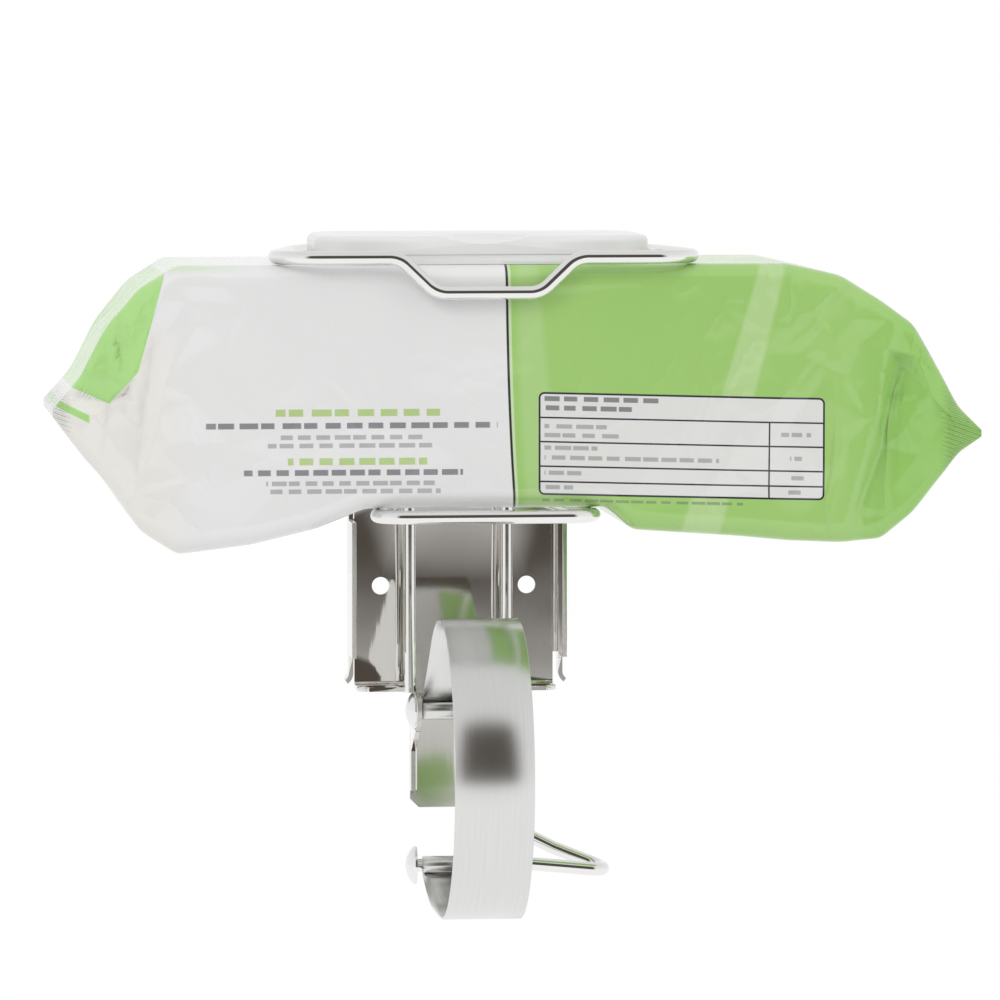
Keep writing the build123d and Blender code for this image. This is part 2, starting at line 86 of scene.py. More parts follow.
# Wires, as in the solids, with the sides and bend steps of their meshes
LOOP_RADIUS = 2.25
LOOP_REAR = -21.35
LOOP_FRONT = -115.0
HOOP_HEIGHT = 116.0
TRAY_HEIGHT = 31.5
HOOP_HALF = [  # x, y, drop, bend radius, from the middle of the rear to the dip
    (44.0, LOOP_REAR, 0.0, 12.0),
    (61.0, -64.0, 0.0, 30.0),
    (72.0, LOOP_FRONT, 0.0, 15.0),
    (29.0, LOOP_FRONT, 0.0, 9.0),
    (17.0, LOOP_FRONT, 11.5, 9.0),
]
TRAY_HALF = [(24.0, LOOP_REAR, 0.0, 8.0), (37.0, LOOP_FRONT, 0.0, 10.0)]
UPRIGHT_RADIUS = 2.0
UPRIGHT_X = 16.5
UPRIGHT_Y = -17.05
UPRIGHT_LOW = -35.0
UPRIGHT_HIGH = 118.25
WIRE_SIDES = 32
BEND_STEPS = 14
PIN_Y = -25.0
LOWER_PIN_Z = -93.1
HANDLE_POINTS = [  # x, y, z, bend radius
    (-16.0, PIN_Y, LOWER_PIN_Z, 0.0),
    (24.0, PIN_Y, LOWER_PIN_Z, 18.0),
    (49.05, PIN_Y, LOWER_PIN_Z - 2.4, 5.4),
    (49.05, PIN_Y + 12.0, LOWER_PIN_Z - 2.4, 5.4),
    (33.0, PIN_Y + 12.0, LOWER_PIN_Z + 4.0, 18.0),
    (19.0, PIN_Y + 12.0, LOWER_PIN_Z + 11.0, 0.0),
]

# Strap, as in the solids
STRAP_HALF_WIDTH = 13.0
STRAP_THICKNESS = 0.8
STRAP_RADIUS = 49.2
STRAP_CENTRE = (85.0, -54.0)
STRAP_FLAT = 25.0
EYE_RADIUS = 2.73
EYE_WRAP = 292.0
PIN_REACH = 25.0
UPPER_PIN_Z = -40.4
STRAP_EDGE = 0.14
# Steps along the strap: degrees in a bend, millimetres in a straight run
COARSE_STEP = 6.0
RISE_STEP = 2.0
FRONT_STEP = 1.5

# Film pack: x, underside and top of its sections, as in the solids
PACK_STATIONS = [
    (-141.0, 64.3, 66.7),
    (-132.0, 52.0, 77.0),
    (-124.0, 43.0, 93.0),
    (-113.0, 27.0, 106.0),
    (-101.0, 19.45, 113.45),
    (-77.0, 22.45, 113.45),
    (-56.0, 27.45, 113.45),
    (-39.5, 33.95, 113.45),
    (39.5, 33.95, 113.45),
    (48.0, 26.45, 113.45),
    (84.0, 23.95, 113.45),
    (99.0, 22.45, 113.45),
    (117.0, 21.45, 109.45),
    (131.0, 22.45, 101.0),
    (142.0, 31.0, 93.0),
    (150.0, 41.0, 79.0),
    (157.0, 50.0, 66.0),
    (164.5, 55.8, 58.2),
]
PACK_FRONT = -112.25
PACK_REAR = -24.0
PACK_COLUMNS = 300
PACK_FRONT_ROWS = 84
PACK_TOP_ROWS = 36
PACK_CORNER_ROWS = 5
PACK_EDGE_RADIUS = 6.0
FIN_INSET = 5.0
OUTLINE_PASSES = 3
RIGHT_SEAL_START = 99.0
RIGHT_SEAL_LENGTH = 65.5
LEFT_SEAL_START = -101.0
LEFT_SEAL_LENGTH = 40.0
FOLD_REACH = 30.0
# How far the film sinks in between its edges, then scale and strength of each sway
SINK_LEAST = 0.12
SINK_GAIN = 0.9
SINK_BASE = 0.25
SINK_SWAY = 0.5
WIDE_SWAY = (0.045, 0.5)
FINE_SWAY = (0.13, 0.35)
# Folds of the film seen from the front: x, z and how far the film lies back from the front
FOLD_POINTS = [
    (-95.0, 118.0, 0.3), (-95.0, 95.0, 0.0), (-95.0, 70.0, 0.2), (-95.0, 45.0, 0.0),
    (-95.0, 15.0, 0.5), (-104.6, 114.4, 1.6), (-106.2, 102.1, 1.2), (-109.1, 95.6, 1.6),
    (-111.7, 86.8, 1.8), (-115.0, 77.4, 2.2), (-116.0, 69.9, 3.0), (-122.8, 68.6, 9.0),
    (-139.0, 75.4, 9.0), (-143.0, 68.6, 8.0), (-127.6, 64.7, 5.0), (-103.3, 80.3, 0.4),
    (-105.6, 74.5, 0.4), (-107.2, 65.7, 0.8), (-114.0, 42.0, 1.6), (-116.0, 31.0, 2.8),
    (-109.0, 86.0, 4.2), (-111.0, 71.0, 4.8), (-112.0, 56.0, 4.4), (-122.0, 94.0, 6.6),
    (-123.7, 76.0, 8.6), (-117.9, 76.5, 5.6), (-120.0, 86.0, 8.0), (-113.0, 101.0, 4.6),
    (-128.0, 84.0, 8.6), (-131.0, 71.5, 10.0), (-117.0, 72.0, 8.0), (-124.4, 59.8, 6.2),
    (-132.0, 58.0, 5.4), (-126.0, 48.0, 6.6), (-120.0, 52.0, 4.0), (-110.0, 30.0, 1.2),
    (-121.0, 36.0, 6.0), (-104.0, 22.0, 1.2), (-175.0, 130.0, 12.0), (-175.0, 0.0, 12.0),
    (93.9, 104.7, 0.0), (99.1, 94.3, 0.1), (124.7, 62.8, 0.6), (131.9, 85.5, 0.4),
    (128.9, 64.4, 0.4), (117.3, 23.1, 0.8), (146.8, 70.2, 3.4), (156.6, 59.8, 6.0),
    (135.1, 94.9, 3.4), (114.3, 107.6, 1.6), (141.9, 83.2, 4.6), (136.5, 80.0, 8.6),
    (134.6, 69.0, 9.4), (131.0, 52.0, 7.4), (123.5, 33.0, 4.6), (105.6, 97.8, 0.4),
    (114.7, 89.1, 1.0), (110.0, 80.0, 1.5), (104.0, 84.0, 0.9), (118.0, 76.0, 1.7),
    (121.0, 96.0, 2.1), (112.0, 70.0, 0.7), (124.0, 86.0, 3.0), (126.0, 76.0, 2.2),
    (90.0, 118.0, 0.6), (90.0, 85.0, 0.0), (92.0, 60.0, 0.0), (95.0, 30.0, 0.5),
    (105.0, 20.0, 0.8), (118.0, 45.0, 1.2), (140.0, 60.0, 5.2), (143.0, 50.0, 5.6),
    (135.0, 40.0, 5.0), (150.0, 66.0, 5.6), (200.0, 130.0, 9.0), (200.0, 0.0, 9.0),
    (60.0, 118.0, 0.3), (60.0, 15.0, 0.3), (-60.0, 118.0, 0.3), (-60.0, 15.0, 0.3),
    (128.0, 110.0, 4.0), (126.0, 18.0, 3.0), (-118.0, 112.0, 7.0), (-108.0, 14.0, 2.5),
]
# Creases: pairs of points in the table above that a fold joins
FOLD_LINES = [
    (5, 6), (6, 7), (7, 8), (8, 9), (9, 10), (10, 11), (11, 12), (9, 14), (14, 13),
    (15, 16), (16, 17), (17, 18), (18, 19), (20, 21), (21, 22), (23, 24), (23, 25),
    (40, 41), (41, 42), (43, 44), (44, 45), (44, 46), (46, 47), (51, 52), (52, 53),
    (53, 54), (43, 48), (48, 50), (50, 46), (55, 56), (57, 59),
]
# Loose folds between them: x from and to, how many, and how much their depths differ
LOOSE_FOLDS = [(-88.0, 84.0, 46, 0.28), (96.0, 158.0, 40, 0.75), (-138.0, -98.0, 30, 0.6)]
LOOSE_HEIGHTS = (22.0, 112.0)
LOOSE_DEPTH = 0.3
LOOSE_SPACING = 3.5
FOLD_SEED = 7
# Tolerances of the net of facets
FACET_MERGE = 1e-5
FACET_LEAST = 1e-9
FACET_EDGE = 1e-6


class Wiring:
    """Short calls that lay out and join the nodes of one tree."""

    def __init__(self, tree):
        self.tree = tree

    def node(self, kind, inputs=None, **settings):
        made = self.tree.nodes.new(kind)
        for name, value in settings.items():
            setattr(made, name, value)
        for name, value in (inputs or {}).items():
            self.feed(made.inputs[name], value)
        return made

    def feed(self, socket, value):
        if isinstance(value, bpy.types.NodeSocket):
            self.tree.links.new(value, socket)
        elif value is not None:
            socket.default_value = value

    def math(self, operation, *values, clamp=False):
        made = self.tree.nodes.new("ShaderNodeMath")
        made.operation = operation
        made.use_clamp = clamp
        for socket, value in zip(made.inputs, values):
            self.feed(socket, value)
        return made.outputs[0]

    def ramp(self, value, low, high, to_low=0.0, to_high=1.0):
        made = self.node("ShaderNodeMapRange", {
            "Value": value, "From Min": low, "From Max": high, "To Min": to_low,
            "To Max": to_high,
        })
        return made.outputs["Result"]

    def mix(self, share, first, second):
        made = self.tree.nodes.new("ShaderNodeMix")
        made.data_type = "RGBA"
        self.feed(made.inputs[0], share)
        self.feed(made.inputs[6], first)
        self.feed(made.inputs[7], second)
        return made.outputs[2]

    def noise(self, vector, scale, detail=2.0, roughness=0.5, distortion=0.0):
        made = self.node("ShaderNodeTexNoise", {
            "Vector": vector, "Scale": scale, "Detail": detail, "Roughness": roughness,
            "Distortion": distortion,
        })
        return made.outputs["Fac"]

    def stretched(self, vector, scale):
        made = self.node("ShaderNodeMapping", {"Vector": vector, "Scale": scale})
        return made.outputs["Vector"]

    def bump(self, height, distance):
        made = self.node("ShaderNodeBump", {
            "Height": height, "Distance": distance, "Strength": 1.0,
        })
        return made.outputs["Normal"]

    def apart(self, first, second):
        return self.math("ABSOLUTE", self.math("SUBTRACT", first, second))

    def grey(self, value):
        made = self.node("ShaderNodeCombineColor", {
            "Red": value, "Green": value, "Blue": value,
        })
        return made.outputs[0]

    def object_point(self):
        return self.node("ShaderNodeTexCoord").outputs["Object"]

    def parts(self, vector):
        made = self.node("ShaderNodeSeparateXYZ", {"Vector": vector})
        return made.outputs["X"], made.outputs["Y"], made.outputs["Z"]


def shader_group(name, inputs, outputs, build):
    """A node group: build gets the wiring and the inputs by name, and returns the outputs."""
    tree = bpy.data.node_groups.new(name, "ShaderNodeTree")
    for label, value in inputs.items():
        kind = "NodeSocketVector" if value is None else "NodeSocketFloat"
        socket = tree.interface.new_socket(label, in_out="INPUT", socket_type=kind)
        if value is not None:
            socket.default_value = value
    for label in outputs:
        tree.interface.new_socket(label, in_out="OUTPUT", socket_type="NodeSocketFloat")
    wiring = Wiring(tree)
    entry = wiring.node("NodeGroupInput")
    results = build(wiring, entry.outputs)
    leave = wiring.node("NodeGroupOutput")
    for label, value in zip(outputs, results):
        wiring.feed(leave.inputs[label], value)
    return tree


# Soft edges of printed shapes in millimetres, and dashes as shares of their pitch
FIELD_BLUR = 0.06
LINE_BLUR = 0.08
END_BLUR = 0.1
DASH_BLUR = 0.03
DASH_SHORTEST = 0.62
DASH_SPREAD = 0.3


def build_handling_marks(w, given):
    """Soft smears in the roughness, and hair scratches and waves in the height."""
    smear = w.noise(given["Point"], given["Smear Scale"], 3.0, 0.6, 0.4)
    change = w.math("MULTIPLY", w.math("SUBTRACT", smear, 0.5), given["Smear"])
    rough = w.math("ADD", given["Roughness"], change, clamp=True)
    hair = w.noise(w.stretched(given["Point"], (1.0, 1.0, 0.06)), given["Hair Scale"], 2.0)
    wave = w.noise(given["Point"], given["Wave Scale"], 1.0)
    scratches = w.math("MULTIPLY", hair, given["Hair"])
    height = w.math("ADD", scratches, w.math("MULTIPLY", wave, given["Wave"]))
    return rough, height


def build_rounded_field(w, given):
    """A rounded rectangle: 1 inside, and 1 along a line on its edge."""
    def past(value, centre, half):
        beyond = w.math("SUBTRACT", w.apart(value, centre), half)
        return w.math("ADD", beyond, given["Corner"])

    across = past(given["X"], given["Centre X"], given["Half Width"])
    up = past(given["Z"], given["Centre Z"], given["Half Height"])
    outside = w.math("SQRT", w.math(
        "ADD",
        w.math("POWER", w.math("MAXIMUM", across, 0.0), 2.0),
        w.math("POWER", w.math("MAXIMUM", up, 0.0), 2.0),
    ))
    inside = w.math("MINIMUM", w.math("MAXIMUM", across, up), 0.0)
    reach = w.math("SUBTRACT", w.math("ADD", outside, inside), given["Corner"])
    field = w.ramp(reach, FIELD_BLUR, -FIELD_BLUR)
    past_line = w.math("SUBTRACT", w.math("ABSOLUTE", reach), given["Line"])
    return field, w.ramp(past_line, LINE_BLUR, -LINE_BLUR)


def build_dashed_bar(w, given):
    """A bar of short dashes of uneven length."""
    along = w.math("DIVIDE", w.math("ADD", given["X"], given["Shift"]), given["Pitch"])
    cell = w.math("FLOOR", along)
    chance = w.node("ShaderNodeTexWhiteNoise", {"W": cell}, noise_dimensions="1D")
    filled = w.math("MULTIPLY_ADD", chance.outputs["Value"], DASH_SPREAD, DASH_SHORTEST)
    past_dash = w.math("SUBTRACT", w.math("FRACT", along), filled)
    dash = w.ramp(past_dash, DASH_BLUR, -DASH_BLUR)
    off_height = w.apart(given["Z"], given["Centre Z"])
    height = w.ramp(w.math("SUBTRACT", off_height, given["Half Height"]), LINE_BLUR, -LINE_BLUR)
    off_middle = w.apart(given["X"], given["Centre X"])
    length = w.ramp(w.math("SUBTRACT", off_middle, given["Half Width"]), END_BLUR, -END_BLUR)
    return (w.math("MULTIPLY", w.math("MULTIPLY", dash, height), length),)


def build_film_creases(w, given):
    """Fine creases of a thin film: sharp ridges between soft hollows."""
    wide = w.noise(given["Point"], given["Scale"], 3.0, 0.55, 0.8)
    ridge = w.math("SUBTRACT", 1.0, w.math("ABSOLUTE", w.math("MULTIPLY_ADD", wide, 2.0, -1.0)))
    sharp = w.math("POWER", ridge, given["Sharpness"])
    soft = w.noise(given["Point"], w.math("MULTIPLY", given["Scale"], 0.35), 1.0)
    raised = w.math("MULTIPLY", sharp, given["Crease"])
    return (w.math("ADD", raised, w.math("MULTIPLY", soft, given["Hollow"])),)


HANDLING_MARKS = shader_group(
    "handling_marks",
    {"Point": None, "Roughness": 0.1, "Smear": 0.1, "Smear Scale": 30.0, "Hair": 0.3,
     "Hair Scale": 900.0, "Wave": 1.0, "Wave Scale": 25.0},
    ["Roughness", "Height"], build_handling_marks,
)
ROUNDED_FIELD = shader_group(
    "rounded_field",
    {"X": 0.0, "Z": 0.0, "Centre X": 0.0, "Centre Z": 0.0, "Half Width": 1.0,
     "Half Height": 1.0, "Corner": 0.0, "Line": 0.3},
    ["Field", "Outline"], build_rounded_field,
)
DASHED_BAR = shader_group(
    "dashed_bar",
    {"X": 0.0, "Z": 0.0, "Centre X": 0.0, "Centre Z": 0.0, "Half Width": 1.0,
     "Half Height": 1.0, "Pitch": 5.0, "Shift": 0.0},
    ["Mask"], build_dashed_bar,
)
FILM_CREASES = shader_group(
    "film_creases",
    {"Point": None, "Scale": 25.0, "Sharpness": 6.0, "Crease": 0.5, "Hollow": 1.0},
    ["Height"], build_film_creases,
)


def new_material(name, colour, metallic=0.0, roughness=0.4, **sockets):
    """A material with one Principled shader; gives the material, its wiring and the shader."""
    made = bpy.data.materials.new(name)
    made.use_nodes = True
    made.diffuse_color = (*colour, 1.0)
    shader = made.node_tree.nodes["Principled BSDF"]
    shader.inputs["Base Color"].default_value = (*colour, 1.0)
    shader.inputs["Metallic"].default_value = metallic
    shader.inputs["Roughness"].default_value = roughness
    for label, value in sockets.items():
        shader.inputs[label.replace("_", " ")].default_value = value
    return made, Wiring(made.node_tree), shader


# Stains and sheared edges of the metal, heights of bumps in metres, and grain of the strap
STAIN_SCALE = 18.0
STAIN_FADE = (0.3, 0.7)
STAIN_DEPTH = 0.05
SHEARED_FADE = (-0.0213, -0.0219)
SHEARED_ROUGHNESS = 0.4
SHEARED_DEPTH = 3.0
SHEET_BUMP = 0.00006
WIRE_BUMP = 0.00003
STRAP_BUMP = 0.00003
LID_BUMP = 0.00002
LABEL_BUMP = 0.0002
GRAIN_SCALE = (30.0, 2600.0, 1.0)


def marked_metal(name, colour, roughness, marks, bump_distance):
    """Bright steel with smears, hair scratches and a slight waviness."""
    made, w, shader = new_material(name, colour, 1.0, roughness)
    point = w.object_point()
    values = {"Point": point, "Roughness": roughness, **marks}
    group = w.node("ShaderNodeGroup", values, node_tree=HANDLING_MARKS)
    w.feed(shader.inputs["Roughness"], group.outputs["Roughness"])
    w.feed(shader.inputs["Normal"], w.bump(group.outputs["Height"], bump_distance))
    stain = w.ramp(w.noise(point, STAIN_SCALE, 3.0), *STAIN_FADE)
    darker = tuple(c * (1.0 - STAIN_DEPTH) for c in colour)
    w.feed(shader.inputs["Base Color"], w.mix(stain, (*darker, 1.0), (*colour, 1.0)))
    return made, w, shader, group


def polished_sheet():
    """Mirror sheet with sheared, rough edges at the front of its side flanges."""
    made, w, shader, group = marked_metal(
        "polished_sheet", (0.80, 0.78, 0.75), 0.035,
        {"Smear": 0.05, "Smear Scale": 45.0, "Hair": 0.05, "Hair Scale": 700.0,
         "Wave": 0.6, "Wave Scale": 30.0}, SHEET_BUMP,
    )
    point = w.object_point()
    _, depth, _ = w.parts(point)
    sheared = w.ramp(depth, *SHEARED_FADE)
    grit = w.noise(w.stretched(point, (1.0, 1.0, 0.35)), 1600.0, 3.0, 0.7)
    coarser = w.math("MULTIPLY", sheared, SHEARED_ROUGHNESS)
    rough = w.math("ADD", group.outputs["Roughness"], coarser, clamp=True)
    w.feed(shader.inputs["Roughness"], rough)
    torn = w.math("MULTIPLY", w.math("MULTIPLY", sheared, grit), SHEARED_DEPTH)
    height = w.math("ADD", group.outputs["Height"], torn)
    w.feed(shader.inputs["Normal"], w.bump(height, SHEET_BUMP))
    return made


def polished_wire():
    """Bright drawn wire."""
    made, _, _, _ = marked_metal(
        "polished_wire", (0.86, 0.86, 0.85), 0.06,
        {"Smear": 0.08, "Smear Scale": 90.0, "Hair": 0.2, "Hair Scale": 1200.0,
         "Wave": 0.5, "Wave Scale": 40.0}, WIRE_BUMP,
    )
    return made


def turned_steel():
    """Duller steel of the pin and its caps."""
    made, _, _, _ = marked_metal(
        "turned_steel", (0.86, 0.86, 0.86), 0.13,
        {"Smear": 0.10, "Smear Scale": 120.0, "Hair": 0.1, "Hair Scale": 900.0,
         "Wave": 0.3, "Wave Scale": 60.0}, WIRE_BUMP,
    )
    return made


def satin_strap():
    """Satin strip: fine grain that runs along it, from the strip's own measure."""
    colour = (0.76, 0.76, 0.745)
    made, w, shader, group = marked_metal(
        "satin_strap", colour, 0.24,
        {"Smear": 0.06, "Smear Scale": 40.0, "Hair": 0.0, "Wave": 0.3, "Wave Scale": 30.0},
        0.00004,
    )
    strip = w.node("ShaderNodeUVMap", uv_map="strip").outputs["UV"]
    grain = w.noise(w.stretched(strip, GRAIN_SCALE), 1.0, 3.0, 0.65)
    height = w.math("ADD", group.outputs["Height"], w.math("MULTIPLY", grain, 0.5))
    w.feed(shader.inputs["Normal"], w.bump(height, STRAP_BUMP))
    tone = w.ramp(grain, 0.3, 0.7)
    darker = tuple(c * 0.93 for c in colour)
    w.feed(shader.inputs["Base Color"], w.mix(tone, (*darker, 1.0), (*colour, 1.0)))
    return made


def lid_moulding():
    """Glossy white moulding with a faint flow pattern."""
    made, w, shader = new_material(
        "lid_moulding", (0.80, 0.80, 0.795), 0.0, 0.2, Coat_Weight=0.3, Coat_Roughness=0.08
    )
    point = w.object_point()
    values = {"Point": point, "Roughness": 0.22, "Wave": 0.6}
    group = w.node("ShaderNodeGroup", values, node_tree=HANDLING_MARKS)
    w.feed(shader.inputs["Roughness"], group.outputs["Roughness"])
    w.feed(shader.inputs["Normal"], w.bump(group.outputs["Height"], LID_BUMP))
    cloud = w.noise(point, 35.0, 2.0)
    tone = w.mix(cloud, (0.77, 0.77, 0.76, 1.0), (0.82, 0.82, 0.815, 1.0))
    w.feed(shader.inputs["Base Color"], tone)
    return made


def label_film():
    """The resealable label under the lid: pale film with fine creases."""
    made, w, shader = new_material(
        "label_film", (0.74, 0.78, 0.72), 0.0, 0.16, Coat_Weight=0.4, Coat_Roughness=0.05
    )
    point = w.object_point()
    values = {"Point": point, "Scale": 120.0}
    group = w.node("ShaderNodeGroup", values, node_tree=FILM_CREASES)
    w.feed(shader.inputs["Normal"], w.bump(group.outputs["Height"], LABEL_BUMP))
    cloud = w.noise(point, 60.0, 2.0)
    tone = w.mix(cloud, (0.70, 0.76, 0.68, 1.0), (0.78, 0.80, 0.77, 1.0))
    w.feed(shader.inputs["Base Color"], tone)
    return made


# Rows of dashes on the film: left and right end, height, half height and pitch
GREEN_ROWS = [(-69.2, -15.6, 65.6, 1.15, 7.5), (-65.3, -19.8, 49.7, 1.15, 6.5)]
BOLD_ROWS = [
    (-91.9, 3.2, 61.4, 0.95, 7.0), (-79.6, -8.1, 46.1, 0.95, 6.0),
    (18.6, 56.0, 68.6, 0.8, 6.5), (18.6, 48.0, 65.6, 0.8, 6.0),
]
THIN_ROWS = [
    (-67.6, -20.5, 57.6, 0.75, 6.0), (-71.8, -16.9, 54.9, 0.75, 6.5),
    (-72.4, -15.6, 42.6, 0.75, 5.5), (-72.0, -15.4, 40.0, 0.75, 6.0),
    (18.6, 39.0, 59.6, 0.7, 6.5), (18.6, 44.0, 56.7, 0.7, 6.5),
    (18.6, 36.0, 52.6, 0.7, 6.0), (18.6, 76.0, 49.4, 0.7, 6.0),
    (18.6, 31.0, 44.4, 0.7, 6.0), (18.6, 28.0, 39.7, 0.7, 6.0),
    (96.5, 106.5, 58.4, 0.7, 5.0), (99.5, 103.5, 50.6, 0.7, 4.0),
    (98.5, 104.5, 44.2, 0.7, 6.0), (98.5, 104.5, 39.5, 0.7, 6.0),
    (18.0, 84.0, 35.4, 0.45, 5.0),
]
FIRST_SHIFT = 200.0
NEXT_SHIFT = 37.0
INKS = [  # rows, colour and strength
    (GREEN_ROWS, (0.36, 0.56, 0.08, 1.0), 0.75),
    (BOLD_ROWS, (0.06, 0.055, 0.08, 1.0), 0.72),
    (THIN_ROWS, (0.12, 0.115, 0.13, 1.0), 0.5),
]
FRONT_FADE = (-100.0, -106.0)

# Plain ruled table
TABLE_CENTRE = (63.9, 53.9)
TABLE_HALF = (46.9, 16.5)
TABLE_CORNER = 1.6
TABLE_BORDER = 0.32
TABLE_TILT = 0.028
TABLE_LINES = [62.4, 54.5, 46.5, 41.5]
TABLE_COLUMN = 92.6
RULE_HALF = 0.27
SHEET_COLOUR = (0.76, 0.76, 0.74, 1.0)
RULE_COLOUR = (0.035, 0.03, 0.05, 1.0)

# Border between the white and the green field, with a dark line on its left and a rim
BORDER_TOP = 117.0
BORDER_BEND = 0.0004
BORDER_X = 6.6
BORDER_BLUR = 0.1
LINE_OFFSET = 0.35
LINE_FADE = (0.5, 0.3)
LINE_COLOUR = (0.03, 0.035, 0.02, 1.0)
RIM_OFFSET = 0.5
RIM_FADE = (0.6, 0.3)
RIM_STRENGTH = 0.5
RIM_COLOUR = (0.85, 0.87, 0.80, 1.0)

# Green field, deeper at its right end, and two pale bands of painted reflection on its front: the
# first along the border, the second on a slant
CLOUD_SCALE = 14.0
GREEN_COLOURS = ((0.33, 0.585, 0.155, 1.0), (0.385, 0.63, 0.19, 1.0))
# Painted shade of the crumpled right end: the green turns deeper from the first x to the second
FOLD_SHADE_FADE = (118.0, 140.0)
FOLD_SHADE_STRENGTH = 0.5
FOLD_SHADE_COLOUR = (0.26, 0.56, 0.10, 1.0)
FIRST_REFLECTION_WIDTHS = (110.0, 33.0, 4.5, 7.5)  # upper and lower height, then their widths
FIRST_REFLECTION_GAP = 2.0
FIRST_REFLECTION_SHARE = 0.8
FIRST_REFLECTION_BLUR = 1.2
FIRST_REFLECTION_STRENGTH = 0.6
SECOND_REFLECTION_TOP = (94.0, 114.0)
SECOND_REFLECTION_SLANT = -0.27
SECOND_REFLECTION_WIDTHS = (114.0, 30.0, 4.2, 6.4)
SECOND_REFLECTION_BLUR = 0.7
REFLECTION_STRENGTH = 0.75
REFLECTION_COLOUR = (0.50, 0.70, 0.33, 1.0)

# White field, cream low on the left, and the green that comes over the left end
WHITE_COLOURS = ((0.78, 0.78, 0.78, 1.0), (0.83, 0.83, 0.825, 1.0))
CREAM_FADE_X = (-96.0, -108.0)
CREAM_FADE_Z = (96.0, 80.0)
CREAM_STRENGTH = 0.7
CREAM_COLOUR = (0.84, 0.81, 0.75, 1.0)
END_COLOURS = ((0.37, 0.68, 0.19, 1.0), (0.45, 0.76, 0.27, 1.0))
END_FOLD_TOP = (-104.0, 114.4)
END_FOLD_SLANT = -0.27
END_FOLD_BLUR = 0.15
NOTCH = (-122.7, 68.5)
NOTCH_SLOPES = (0.432, 1.156)
NOTCH_BLUR = 0.2
SLIVER_START = (-143.0, 70.4)
SLIVER_SLANT = -0.5
SLIVER_FADE = (1.4, 1.1)
SLIVER_END = (-129.0, -129.6)
TOP_FADE_Z = (110.5, 112.5)
TOP_FADE_X = (-76.0, -98.0)
TOP_STRENGTH = 0.5
TOP_COLOUR = (0.52, 0.74, 0.38, 1.0)

# Creases of the film, deeper towards the ends, and the crimp of the seals
CREASE_STRETCH = (1.0, 0.8, 0.6)
CREASE_SCALE = 26.0
CREASE_RIGHT = (60.0, 130.0)
CREASE_LEFT = (-90.0, -125.0)
CREASE_GAIN = 2.2
CREASE_LEAST = 0.35
CRIMP_RIGHT = (150.0, 154.0)
CRIMP_LEFT = (-134.0, -138.0)
CRIMP_SLANT = 0.35
CRIMP_RATE = 4.2
CRIMP_DEPTH = 0.35
FILM_BUMP = 0.0009


def placed(x, z, centre, half):
    """The inputs that place a printed shape."""
    return {
        "X": x, "Z": z, "Centre X": centre[0], "Centre Z": centre[1],
        "Half Width": half[0], "Half Height": half[1],
    }


def dash_rows(w, rows, x, z, tilted):
    """All rows of dashes in one ink. Rows on the green field tilt as the table does."""
    total = None
    for order, (left, right, level, half, pitch) in enumerate(rows):
        level_z = tilted if left > 0.0 else z
        values = placed(x, level_z, ((left + right) / 2, level), ((right - left) / 2, half))
        values["Pitch"] = pitch
        values["Shift"] = FIRST_SHIFT + NEXT_SHIFT * order
        mask = w.node("ShaderNodeGroup", values, node_tree=DASHED_BAR).outputs["Mask"]
        total = mask if total is None else w.math("MAXIMUM", total, mask)
    return total


def ruled_table(w, x, tilted):
    """The sheet of the plain table, and the lines on it."""
    values = placed(x, tilted, TABLE_CENTRE, TABLE_HALF)
    values["Corner"] = TABLE_CORNER
    values["Line"] = TABLE_BORDER
    sheet = w.node("ShaderNodeGroup", values, node_tree=ROUNDED_FIELD)
    top = TABLE_LINES[0]
    low = TABLE_CENTRE[1] - TABLE_HALF[1]
    bars = [((TABLE_CENTRE[0], level), (TABLE_HALF[0], RULE_HALF)) for level in TABLE_LINES]
    bars.append(((TABLE_COLUMN, (top + low) / 2), (RULE_HALF, (top - low) / 2)))
    rules = sheet.outputs["Outline"]
    for centre, half in bars:
        values = placed(x, tilted, centre, half)
        bar = w.node("ShaderNodeGroup", values, node_tree=ROUNDED_FIELD)
        rules = w.math("MAXIMUM", rules, bar.outputs["Field"])
    return sheet.outputs["Field"], rules


def green_field(w, x, z, past_border, cloud, front):
    """Light green, deeper at the right end as painted shade of its folds, with two pale bands of
    painted reflection on its front.
    """
    green = w.mix(cloud, *GREEN_COLOURS)
    # Painted shade: the green turns deeper towards the folded right end.
    fold_shade = w.math("MULTIPLY", w.ramp(x, *FOLD_SHADE_FADE), FOLD_SHADE_STRENGTH)
    green = w.mix(fold_shade, green, FOLD_SHADE_COLOUR)
    # The two pale bands are painted reflections on the glossy front: the first along the border,
    # the second on a slant.
    width = w.ramp(z, *FIRST_REFLECTION_WIDTHS)
    off_first_reflection = w.apart(past_border, w.math("ADD", width, FIRST_REFLECTION_GAP))
    past_first_reflection = w.math("SUBTRACT", off_first_reflection, w.math("MULTIPLY", width, FIRST_REFLECTION_SHARE))
    first = w.ramp(past_first_reflection, FIRST_REFLECTION_BLUR, -FIRST_REFLECTION_BLUR)
    top_x, top_z = SECOND_REFLECTION_TOP
    middle = w.math("MULTIPLY_ADD", w.math("SUBTRACT", top_z, z), SECOND_REFLECTION_SLANT, top_x)
    past_second_reflection = w.math("SUBTRACT", w.apart(x, middle), w.ramp(z, *SECOND_REFLECTION_WIDTHS))
    second = w.ramp(past_second_reflection, SECOND_REFLECTION_BLUR, -SECOND_REFLECTION_BLUR)
    painted_reflections = w.math("MAXIMUM", w.math("MULTIPLY", first, FIRST_REFLECTION_STRENGTH), second)
    painted_reflections = w.math("MULTIPLY", w.math("MULTIPLY", painted_reflections, front), REFLECTION_STRENGTH)
    return w.mix(painted_reflections, green, REFLECTION_COLOUR)


